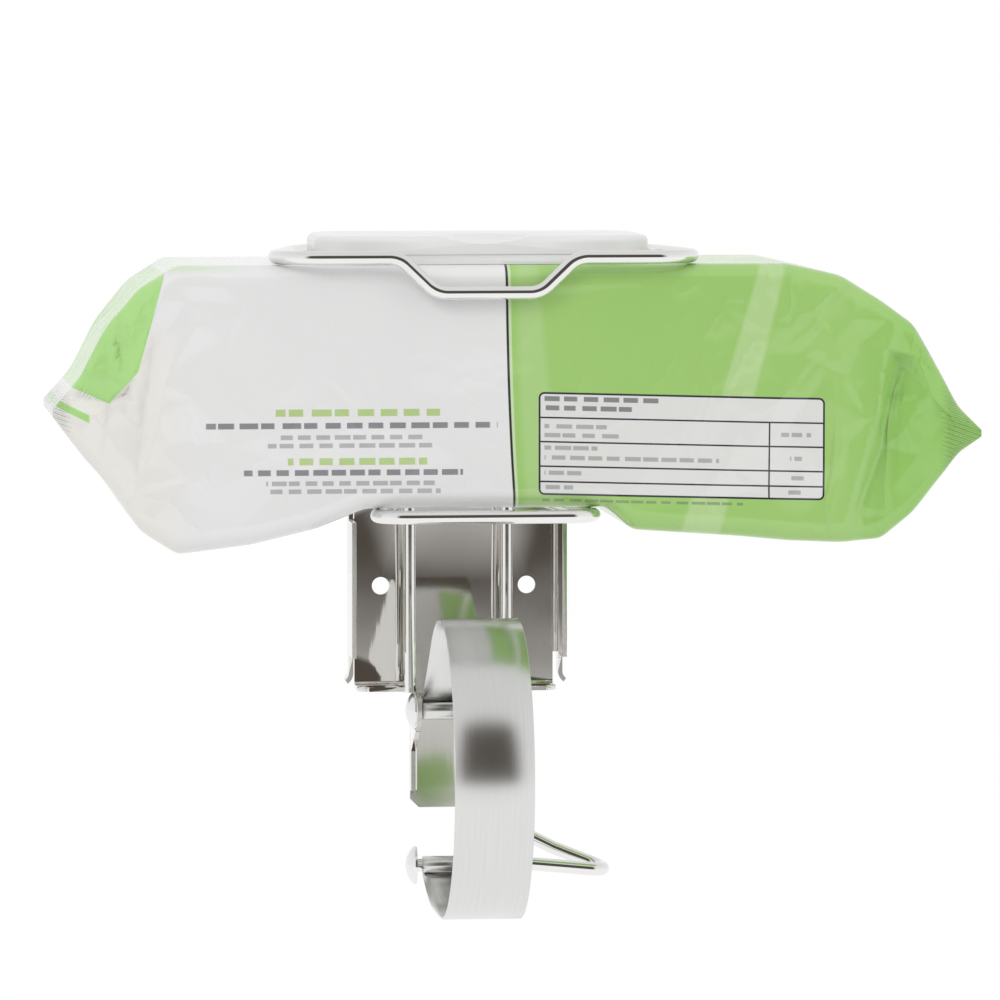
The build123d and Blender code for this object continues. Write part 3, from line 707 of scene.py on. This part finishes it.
def end_green(w, x, z):
    """Where the green comes over the left end: above a notch, and in a thin sliver."""
    fold_x, fold_z = END_FOLD_TOP
    fold = w.math("MULTIPLY_ADD", w.math("SUBTRACT", fold_z, z), END_FOLD_SLANT, fold_x)
    beyond = w.ramp(w.math("SUBTRACT", x, fold), END_FOLD_BLUR, -END_FOLD_BLUR)
    notch_x, notch_z = NOTCH
    notch = w.math(
        "MAXIMUM",
        w.math("MULTIPLY_ADD", w.math("SUBTRACT", notch_x, x), NOTCH_SLOPES[0], notch_z),
        w.math("MULTIPLY_ADD", w.math("SUBTRACT", x, notch_x), NOTCH_SLOPES[1], notch_z),
    )
    above = w.ramp(w.math("SUBTRACT", z, notch), -NOTCH_BLUR, NOTCH_BLUR)
    start_x, start_z = SLIVER_START
    along = w.math("MULTIPLY_ADD", w.math("SUBTRACT", x, start_x), SLIVER_SLANT, start_z)
    sliver = w.ramp(w.apart(z, along), *SLIVER_FADE)
    sliver = w.math("MULTIPLY", sliver, w.ramp(x, *SLIVER_END))
    return w.math("MAXIMUM", w.math("MULTIPLY", beyond, above), sliver)


def white_field(w, x, z, cloud):
    """White, cream low on the left, with the green of the left end and of its top."""
    white = w.mix(cloud, *WHITE_COLOURS)
    cream = w.math("MULTIPLY", w.ramp(x, *CREAM_FADE_X), w.ramp(z, *CREAM_FADE_Z))
    white = w.mix(w.math("MULTIPLY", cream, CREAM_STRENGTH), white, CREAM_COLOUR)
    top = w.math("MULTIPLY", w.ramp(z, *TOP_FADE_Z), w.ramp(x, *TOP_FADE_X))
    white = w.mix(w.math("MULTIPLY", top, TOP_STRENGTH), white, TOP_COLOUR)
    return w.mix(end_green(w, x, z), white, w.mix(cloud, *END_COLOURS))


def film_relief(w, point, x, z):
    """Height of the creases and of the crimped seals."""
    values = {"Point": w.stretched(point, CREASE_STRETCH), "Scale": CREASE_SCALE}
    creases = w.node("ShaderNodeGroup", values, node_tree=FILM_CREASES).outputs["Height"]
    outward = w.math("MAXIMUM", w.ramp(x, *CREASE_RIGHT), w.ramp(x, *CREASE_LEFT))
    depth = w.math("MULTIPLY_ADD", outward, CREASE_GAIN, CREASE_LEAST)
    at_seal = w.math("MAXIMUM", w.ramp(x, *CRIMP_RIGHT), w.ramp(x, *CRIMP_LEFT))
    slanted = w.math("ADD", z, w.math("MULTIPLY", x, CRIMP_SLANT))
    crimp = w.math("SINE", w.math("MULTIPLY", slanted, CRIMP_RATE))
    ridges = w.math("MULTIPLY", w.math("MULTIPLY", crimp, at_seal), CRIMP_DEPTH)
    return w.math("ADD", w.math("MULTIPLY", creases, depth), ridges)


def pack_film():
    """Glossy printed film: white on the left, light green on the right, with plain fields."""
    made, w, shader = new_material(
        "pack_film", (0.6, 0.78, 0.42), 0.0, 0.16, Coat_Weight=0.35, Coat_Roughness=0.04
    )
    point = w.object_point()
    x, y, z = (w.math("MULTIPLY", part, TO_MM) for part in w.parts(point))
    front = w.ramp(y, *FRONT_FADE)
    cloud = w.noise(point, CLOUD_SCALE, 2.0)

    drop = w.math("SUBTRACT", BORDER_TOP, z)
    border = w.math("MULTIPLY_ADD", w.math("MULTIPLY", drop, drop), BORDER_BEND, BORDER_X)
    past_border = w.math("SUBTRACT", x, border)
    colour = w.mix(
        w.ramp(past_border, -BORDER_BLUR, BORDER_BLUR),
        white_field(w, x, z, cloud),
        green_field(w, x, z, past_border, cloud, front),
    )
    rim = w.ramp(w.apart(past_border, RIM_OFFSET), *RIM_FADE)
    colour = w.mix(w.math("MULTIPLY", rim, RIM_STRENGTH), colour, RIM_COLOUR)
    line = w.ramp(w.apart(past_border, -LINE_OFFSET), *LINE_FADE)
    colour = w.mix(line, colour, LINE_COLOUR)

    from_centre = w.math("SUBTRACT", x, TABLE_CENTRE[0])
    tilted = w.math("MULTIPLY_ADD", from_centre, TABLE_TILT, z)
    sheet, rules = ruled_table(w, x, tilted)
    colour = w.mix(w.math("MULTIPLY", sheet, front), colour, SHEET_COLOUR)
    colour = w.mix(w.math("MULTIPLY", rules, front), colour, RULE_COLOUR)
    for rows, ink, strength in INKS:
        mask = w.math("MULTIPLY", dash_rows(w, rows, x, z, tilted), front)
        colour = w.mix(w.math("MULTIPLY", mask, strength), colour, ink)
    w.feed(shader.inputs["Base Color"], colour)
    w.feed(shader.inputs["Normal"], w.bump(film_relief(w, point, x, z), FILM_BUMP))
    return made


FINISH = {
    "polished_sheet": polished_sheet(),
    "polished_wire": polished_wire(),
    "satin_strap": satin_strap(),
    "turned_steel": turned_steel(),
    "pack_film": pack_film(),
    "lid_moulding": lid_moulding(),
    "label_film": label_film(),
}


def add_object(name, mesh):
    made = bpy.data.objects.new(name, mesh)
    bpy.context.scene.collection.objects.link(made)
    return made


def baked(made):
    """Takes the object's modifiers into its mesh."""
    depsgraph = bpy.context.evaluated_depsgraph_get()
    mesh = bpy.data.meshes.new_from_object(made.evaluated_get(depsgraph))
    made.modifiers.clear()
    made.data = mesh
    return made


def as_piece(made, body, slot, *nodes):
    """Gives a finished mesh its body and its finish, and hides the nodes that it stands for."""
    made.data.materials.clear()
    made.data.materials.append(FINISH[slot])
    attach(made, body)
    if nodes:
        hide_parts(*nodes)
    return made


def faced_outwards(mesh, merge=0.0):
    """Turns the faces of a closed mesh outwards, after a merge if a distance is given."""
    work = bmesh.new()
    work.from_mesh(mesh)
    if merge:
        bmesh.ops.remove_doubles(work, verts=work.verts, dist=merge)
    bmesh.ops.recalc_face_normals(work, faces=work.faces)
    work.to_mesh(mesh)
    work.free()


def smoothed(mesh, angle):
    """Smooth surfaces, with sharp edges past an angle."""
    mesh.shade_smooth()
    mesh.set_sharp_from_angle(angle=math.radians(angle))


def dressed(node, name, body, slot, angle=SOLID_SMOOTH):
    """A node's own mesh, merged, with its curves smooth."""
    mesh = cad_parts[node].data.copy()
    made = add_object(name, mesh)
    faced_outwards(mesh, MERGE_DISTANCE)
    smoothed(mesh, angle)
    as_piece(made, body, slot, node)


def wire_tree():
    """Node tree that turns a line of points into a round wire with round bends."""
    tree = bpy.data.node_groups.new("bent_wire", "GeometryNodeTree")
    face = tree.interface
    face.new_socket("Geometry", in_out="INPUT", socket_type="NodeSocketGeometry")
    radius = face.new_socket("Wire Radius", in_out="INPUT", socket_type="NodeSocketFloat")
    radius.default_value = UPRIGHT_RADIUS * MM
    sides = face.new_socket("Sides", in_out="INPUT", socket_type="NodeSocketInt")
    sides.default_value = WIRE_SIDES
    steps = face.new_socket("Bend Steps", in_out="INPUT", socket_type="NodeSocketInt")
    steps.default_value = BEND_STEPS
    face.new_socket("Finish", in_out="INPUT", socket_type="NodeSocketMaterial")
    face.new_socket("Geometry", in_out="OUTPUT", socket_type="NodeSocketGeometry")
    w = Wiring(tree)
    given = w.node("NodeGroupInput").outputs
    line = w.node("GeometryNodeMeshToCurve", {"Mesh": given["Geometry"]}).outputs["Curve"]
    bend = w.node("GeometryNodeInputNamedAttribute", {"Name": "bend_radius"}, data_type="FLOAT")
    rounded = w.node("GeometryNodeFilletCurve", mode="POLY")
    w.feed(rounded.inputs["Curve"], line)
    w.feed(rounded.inputs["Count"], given["Bend Steps"])
    w.feed(rounded.inputs["Radius"], bend.outputs["Attribute"])
    ring = w.node("GeometryNodeCurvePrimitiveCircle", {
        "Resolution": given["Sides"], "Radius": given["Wire Radius"],
    })
    tube = w.node("GeometryNodeCurveToMesh", {
        "Curve": rounded.outputs["Curve"], "Profile Curve": ring.outputs["Curve"],
        "Fill Caps": True,
    })
    real = w.node("GeometryNodeRealizeInstances", {"Geometry": tube.outputs["Mesh"]})
    finish = w.node("GeometryNodeSetMaterial", {
        "Geometry": real.outputs["Geometry"], "Material": given["Finish"],
    })
    leave = w.node("NodeGroupOutput")
    w.feed(leave.inputs["Geometry"], finish.outputs["Geometry"])
    return tree


WIRE_TREE = wire_tree()


def through_tree(name, mesh, tree, values):
    """Runs a mesh through a node tree with named values and keeps the plain result."""
    made = add_object(name, mesh)
    step = made.modifiers.new("tree", "NODES")
    step.node_group = tree
    for socket in tree.interface.items_tree:
        if socket.in_out == "INPUT" and socket.name in values:
            step[socket.identifier] = values[socket.name]
    return baked(made)


def wire(name, points, radius, closed, body, *nodes):
    """A round wire through points of x, y, z and bend radius."""
    mesh = bpy.data.meshes.new(name)
    count = len(points)
    edges = [(i, i + 1) for i in range(count - 1)]
    if closed:
        edges.append((count - 1, 0))
    mesh.from_pydata([[c * MM for c in point[:3]] for point in points], edges, [])
    bends = mesh.attributes.new("bend_radius", "FLOAT", "POINT")
    for item, point in zip(bends.data, points):
        item.value = point[3] * MM
    made = through_tree(name, mesh, WIRE_TREE, {
        "Wire Radius": radius * MM, "Sides": WIRE_SIDES, "Finish": FINISH["polished_wire"],
    })
    faced_outwards(made.data)
    smoothed(made.data, WIRE_SMOOTH)
    as_piece(made, body, "polished_wire", *nodes)


def loop_points(half, height):
    """Both halves of a closed loop, from the middle of one side round to the other."""
    right = [(x, y, height - drop, bend) for x, y, drop, bend in half]
    left = [(-x, y, z, bend) for x, y, z, bend in reversed(right)]
    return right + left


def strap_line():
    """The middle line of the strap as reach, height and heading, walked from the upper eye."""
    run = STRAP_CENTRE[0] - PIN_REACH
    drop = STRAP_CENTRE[1] - UPPER_PIN_Z
    apart = math.hypot(run, drop)
    heading = math.degrees(math.atan2(drop, run) + math.asin((STRAP_RADIUS - EYE_RADIUS) / apart))
    arm = math.sqrt(apart**2 - (STRAP_RADIUS - EYE_RADIUS) ** 2)
    turn = math.radians(heading + 90 + EYE_WRAP)
    at = [PIN_REACH + EYE_RADIUS * math.cos(turn), UPPER_PIN_Z + EYE_RADIUS * math.sin(turn)]
    facing = heading + EYE_WRAP
    line = [(at[0], at[1], facing)]
    rise = LOWER_PIN_Z - (STRAP_CENTRE[1] - STRAP_RADIUS)
    back = STRAP_CENTRE[0] - STRAP_FLAT - PIN_REACH
    wide = (back**2 + rise**2 - EYE_RADIUS**2) / (2 * (rise - EYE_RADIUS))
    rising = math.degrees(math.atan2(back, wide - rise))
    for radius, amount, step in (
        (EYE_RADIUS, EYE_WRAP, COARSE_STEP),
        (0.0, arm, COARSE_STEP),
        (STRAP_RADIUS, heading + 180.0, FRONT_STEP),
        (0.0, STRAP_FLAT, COARSE_STEP),
        (wide, rising, RISE_STEP),
        (EYE_RADIUS, EYE_WRAP, COARSE_STEP),
    ):
        count = max(2, round(amount / step))
        for _ in range(count):
            share = amount / count
            if radius:
                chord = 2 * radius * math.sin(math.radians(share / 2))
                way = math.radians(facing - share / 2)
                facing -= share
            else:
                chord = share
                way = math.radians(facing)
            at = [at[0] + chord * math.cos(way), at[1] + chord * math.sin(way)]
            line.append((at[0], at[1], facing))
    return line


def strap():
    """The bent strip with softened edges and a measure of its own along and across."""
    line = strap_line()
    half, thick = STRAP_HALF_WIDTH, STRAP_THICKNESS / 2
    section = [
        (half - STRAP_EDGE, thick), (half, thick - STRAP_EDGE), (half, STRAP_EDGE - thick),
        (half - STRAP_EDGE, -thick), (STRAP_EDGE - half, -thick), (-half, STRAP_EDGE - thick),
        (-half, thick - STRAP_EDGE), (STRAP_EDGE - half, thick),
    ]
    points, along, length = [], [], 0.0
    for order, (reach, height, facing) in enumerate(line):
        if order:
            length += math.hypot(reach - line[order - 1][0], height - line[order - 1][1])
        normal = math.radians(facing + 90)
        for across, offset in section:
            points.append((
                across * MM,
                -(reach + offset * math.cos(normal)) * MM,
                (height + offset * math.sin(normal)) * MM,
            ))
            along.append((length * MM, across * MM))
    count = len(section)
    faces = []
    for ring in range(len(line) - 1):
        for side in range(count):
            a = ring * count + side
            b = ring * count + (side + 1) % count
            faces.append((a, b, b + count, a + count))
    faces.append(tuple(range(count)))
    last = (len(line) - 1) * count
    faces.append(tuple(last + side for side in range(count)))
    mesh = bpy.data.meshes.new("bent_strap")
    mesh.from_pydata(points, [], faces)
    work = bmesh.new()
    work.from_mesh(mesh)
    bmesh.ops.recalc_face_normals(work, faces=work.faces)
    measure = work.loops.layers.uv.new("strip")
    work.verts.ensure_lookup_table()
    for face in work.faces:
        for loop in face.loops:
            loop[measure].uv = along[loop.vert.index]
    work.to_mesh(mesh)
    work.free()
    made = add_object("bent_strap", mesh)
    smoothed(mesh, STRAP_SMOOTH)
    as_piece(made, "strap", "satin_strap", "clamp_strap")


def fold_depths(points):
    """How far the film lies back at points of x and z: flat facets between the fold points."""
    rng = np.random.default_rng(FOLD_SEED)
    loose = []
    for low, high, number, size in LOOSE_FOLDS:
        for _ in range(number):
            x = rng.uniform(low, high)
            z = rng.uniform(*LOOSE_HEIGHTS)
            loose.append((x, z, rng.uniform(-size, size)))
    net = list(FOLD_POINTS)
    depths = facet_heights(net, np.array([(x, z) for x, z, _ in loose]))
    for (x, z, change), depth in zip(loose, depths):
        nearest = min(math.hypot(x - row[0], z - row[1]) for row in net)
        if nearest > LOOSE_SPACING:
            net.append((x, z, max(0.0, depth + LOOSE_DEPTH + change)))
    return facet_heights(net, points)


def facet_heights(net, points):
    """Heights at points on flat triangles through a net of x, z and height."""
    spots = [(row[0], row[1]) for row in net]
    heights = [row[2] for row in net]
    verts, _, triangles, origin, _, _ = geometry.delaunay_2d_cdt(
        [Vector(spot) for spot in spots], FOLD_LINES, [], 0, FACET_MERGE
    )
    known = np.array([
        np.mean([heights[i] for i in source]) if source else np.nan for source in origin
    ])
    place = np.array([tuple(v) for v in verts])
    for index in np.flatnonzero(np.isnan(known)):
        away = np.linalg.norm(np.array(spots) - place[index], axis=1)
        weight = 1.0 / (away + 0.01) ** 3
        known[index] = float((weight * np.array(heights)).sum() / weight.sum())
    result = np.zeros(len(points))
    for corner in triangles:
        a, b, c = (place[i] for i in corner)
        whole = (b[0] - a[0]) * (c[1] - a[1]) - (c[0] - a[0]) * (b[1] - a[1])
        if abs(whole) < FACET_LEAST:
            continue
        p = points - a
        second = (p[:, 0] * (c[1] - a[1]) - (c[0] - a[0]) * p[:, 1]) / whole
        third = ((b[0] - a[0]) * p[:, 1] - p[:, 0] * (b[1] - a[1])) / whole
        first = 1.0 - second - third
        hit = (first >= -FACET_EDGE) & (second >= -FACET_EDGE) & (third >= -FACET_EDGE)
        value = first * known[corner[0]] + second * known[corner[1]] + third * known[corner[2]]
        result[hit] = value[hit]
    return result


def pack_ring(low, high, front, rear):
    """One section of the pack as points of y and z, from the lower front edge upwards."""
    radius = min(PACK_EDGE_RADIUS, 0.45 * (high - low))
    ring = []

    def straight(start, end, count):
        for i in range(count):
            share = i / count
            ring.append((
                start[0] + share * (end[0] - start[0]),
                start[1] + share * (end[1] - start[1]),
            ))

    def corner(centre, begin):
        for i in range(PACK_CORNER_ROWS):
            turn = math.radians(begin - 90.0 * i / PACK_CORNER_ROWS)
            ring.append((centre[0] + radius * math.cos(turn), centre[1] + radius * math.sin(turn)))

    straight((front, low + radius), (front, high - radius), PACK_FRONT_ROWS)
    corner((front + radius, high - radius), 180.0)
    straight((front + radius, high), (rear - radius, high), PACK_TOP_ROWS)
    corner((rear - radius, high - radius), 90.0)
    straight((rear, high - radius), (rear, low + radius), PACK_FRONT_ROWS // 2)
    corner((rear - radius, low + radius), 0.0)
    straight((rear - radius, low), (front + radius, low), PACK_TOP_ROWS)
    corner((front + radius, low + radius), 270.0)
    return ring


def pack_outline():
    """Places along the pack, with its underside, its top and how near a seal is."""
    stations = np.array(PACK_STATIONS)
    xs = np.linspace(stations[0, 0], stations[-1, 0], PACK_COLUMNS)
    low = np.interp(xs, stations[:, 0], stations[:, 1])
    high = np.interp(xs, stations[:, 0], stations[:, 2])
    for _ in range(OUTLINE_PASSES):
        low[1:-1] = (low[:-2] + 2 * low[1:-1] + low[2:]) / 4
        high[1:-1] = (high[:-2] + 2 * high[1:-1] + high[2:]) / 4
    right = (xs - RIGHT_SEAL_START) / RIGHT_SEAL_LENGTH
    left = (LEFT_SEAL_START - xs) / LEFT_SEAL_LENGTH
    return xs, low, high, np.clip(np.maximum(right, left), 0.0, 1.0)


def sink_in(x, y, z, middle, seal):
    """Sinks the film a little between its edges, and crumples it near the seals."""
    centre = (PACK_FRONT + PACK_REAR) / 2
    columns, rows = x.shape
    for column in range(columns):
        strong = SINK_LEAST + SINK_GAIN * seal[column]
        for row in range(rows):
            spot = Vector((x[column, row], y[column, row], z[column, row]))
            wide = noise.noise(spot * WIDE_SWAY[0]) * WIDE_SWAY[1]
            fine = noise.noise(spot * FINE_SWAY[0]) * FINE_SWAY[1] * strong
            inward = strong * (SINK_BASE + SINK_SWAY * (wide + fine))
            dy, dz = centre - spot.y, middle[column] - spot.z
            size = math.hypot(dy, dz) or 1.0
            y[column, row] += inward * dy / size
            z[column, row] += inward * dz / size


def tube_faces(columns, rows):
    """Faces of a closed tube of rings, with both ends shut."""
    faces = []
    for column in range(columns - 1):
        base = column * rows
        for row in range(rows):
            after = (row + 1) % rows
            faces.append((base + row, base + after, base + rows + after, base + rows + row))
    faces.append(tuple(range(rows)))
    faces.append(tuple((columns - 1) * rows + row for row in range(rows)))
    return faces


def soft_pack():
    """The film pack: the solid's sections with folds, facets and soft hollows."""
    xs, low, high, seal = pack_outline()
    rings = np.array([
        pack_ring(lo, hi, PACK_FRONT + FIN_INSET * s, PACK_REAR - FIN_INSET * s)
        for lo, hi, s in zip(low, high, seal)
    ])
    columns, rows = rings.shape[:2]
    x = np.repeat(xs, rows).reshape(columns, rows)
    y, z = rings[:, :, 0].copy(), rings[:, :, 1].copy()
    upright = np.stack([x.ravel(), z.ravel()], axis=1)
    turned = np.stack([x.ravel(), (low + high).repeat(rows) - z.ravel()], axis=1)
    near_front = np.clip(1.0 - (y - PACK_FRONT) / FOLD_REACH, 0.0, 1.0) ** 2
    near_rear = np.clip(1.0 - (PACK_REAR - y) / FOLD_REACH, 0.0, 1.0) ** 2
    y += fold_depths(upright).reshape(columns, rows) * near_front
    y -= fold_depths(turned).reshape(columns, rows) * near_rear
    sink_in(x, y, z, (low + high) / 2, seal)
    verts = np.stack([x.ravel(), y.ravel(), z.ravel()], axis=1) * MM
    mesh = bpy.data.meshes.new("film_pack")
    mesh.from_pydata(verts.tolist(), [], tube_faces(columns, rows))
    faced_outwards(mesh)
    made = add_object("film_pack", mesh)
    smoothed(mesh, FILM_SMOOTH)
    as_piece(made, "holder", "pack_film", "wipes_pack")


def build_pieces():
    """Every piece of the holder, with the node that it stands for."""
    dressed("wall_plate", "folded_plate", "holder", "polished_sheet")
    for node, name, side in (("left_upright", "left_rod", -1), ("right_upright", "right_rod", 1)):
        x = side * UPRIGHT_X
        ends = [(x, UPRIGHT_Y, UPRIGHT_LOW, 0.0), (x, UPRIGHT_Y, UPRIGHT_HIGH, 0.0)]
        wire(name, ends, UPRIGHT_RADIUS, False, "holder", node)
    hoop = loop_points(HOOP_HALF, HOOP_HEIGHT)
    wire("upper_wire_loop", hoop, LOOP_RADIUS, True, "holder", "upper_hoop")
    tray = loop_points(TRAY_HALF, TRAY_HEIGHT)
    wire("tray_wire_loop", tray, LOOP_RADIUS, True, "holder", "tray_loop")
    wire("pull_wire", HANDLE_POINTS, LOOP_RADIUS, False, "handle", "pull_handle")
    strap()
    soft_pack()
    dressed("upper_pin", "headed_pin", "holder", "turned_steel")
    dressed("upper_pin_cap", "pin_cap", "holder", "turned_steel")
    dressed("handle_cap", "wire_cap", "handle", "turned_steel")
    dressed("lid_frame", "moulded_frame", "holder", "lid_moulding")
    dressed("lid_flap", "flip_lid", "lid", "lid_moulding", LID_SMOOTH)
    dressed("peel_label", "peel_film", "holder", "label_film")


def studio_world():
    """White to the camera; a bright room with one dark side, in front, for the metal."""
    world = bpy.data.worlds.new("studio")
    bpy.context.scene.world = world
    world.use_nodes = True
    w = Wiring(world.node_tree)
    world.node_tree.nodes.clear()
    path = w.node("ShaderNodeLightPath")
    x, y, z = w.parts(w.node("ShaderNodeTexCoord").outputs["Generated"])
    ahead = w.math("MAXIMUM", w.math("MULTIPLY", y, -1.0), 0.001)
    rise = w.math("DIVIDE", z, ahead)
    swing = w.math("DIVIDE", w.math("ABSOLUTE", x), ahead)
    dark = w.math("MULTIPLY", w.ramp(rise, *DARK_FLOOR_FADE), w.ramp(rise, *DARK_CEILING_FADE))
    dark = w.math("MULTIPLY", dark, w.ramp(swing, *DARK_SIDE_FADE))
    dark = w.math("MULTIPLY", dark, w.math("LESS_THAN", y, 0.0))
    mirrored = w.mix(dark, w.grey(w.ramp(z, *MIRRORED_GREY)), DARK_COLOUR)
    soft = w.grey(w.ramp(z, *SOFT_GREY))
    colour = w.mix(path.outputs["Is Glossy Ray"], soft, mirrored)
    seen = w.math("MAXIMUM", path.outputs["Is Camera Ray"], path.outputs["Is Transmission Ray"])
    colour = w.mix(seen, colour, WHITE)
    back = w.node("ShaderNodeBackground", {"Color": colour, "Strength": 1.0})
    w.node("ShaderNodeOutputWorld", {"Surface": back.outputs["Background"]})


def area_lamp(name, place, target, size, power):
    lamp = bpy.data.lights.new(name, "AREA")
    lamp.shape = "RECTANGLE"
    lamp.size, lamp.size_y = size
    lamp.energy = power
    made = add_object(name, lamp)
    made.location = place
    made.rotation_euler = (Vector(target) - Vector(place)).to_track_quat("-Z", "Y").to_euler()
    made.visible_glossy = False


def studio_floor():
    """A pale floor well below the holder. It keeps a faint shadow and is white otherwise."""
    left, right, front, rear = FLOOR_EDGES
    corners = [(left, front), (right, front), (right, rear), (left, rear)]
    mesh = bpy.data.meshes.new("floor")
    mesh.from_pydata([(x, y, FLOOR_HEIGHT) for x, y in corners], [], [(0, 1, 2, 3)])
    floor = add_object("floor", mesh)
    made, w, shader = new_material("pale_floor", (0.9, 0.9, 0.9), 0.0, 0.7)
    shader.inputs["Specular IOR Level"].default_value = 0.0
    path = w.node("ShaderNodeLightPath")
    glow = w.node("ShaderNodeEmission", {"Color": WHITE, "Strength": FLOOR_GLOW})
    seen = w.math("MAXIMUM", path.outputs["Is Camera Ray"], path.outputs["Is Glossy Ray"])
    share = w.math("MULTIPLY", seen, FLOOR_GLOW_SHARE)
    shaders = {0: share, 1: shader.outputs["BSDF"], 2: glow.outputs["Emission"]}
    both = w.node("ShaderNodeMixShader", shaders)
    output = made.node_tree.nodes["Material Output"]
    w.feed(output.inputs["Surface"], both.outputs["Shader"])
    mesh.materials.append(made)


def camera():
    lens = bpy.data.cameras.new("camera")
    lens.lens = CAMERA_LENS
    lens.sensor_width = SENSOR_WIDTH
    lens.clip_end = CLIP_END
    made = add_object("camera", lens)
    made.location = CAMERA_PLACE
    made.rotation_euler = (math.radians(90.0) - CAMERA_PITCH, 0.0, -CAMERA_YAW)
    bpy.context.scene.camera = made


bpy.context.scene.view_settings.view_transform = "Standard"
camera()
studio_world()
studio_floor()
for lamp in LAMPS:
    area_lamp(*lamp)
build_pieces()
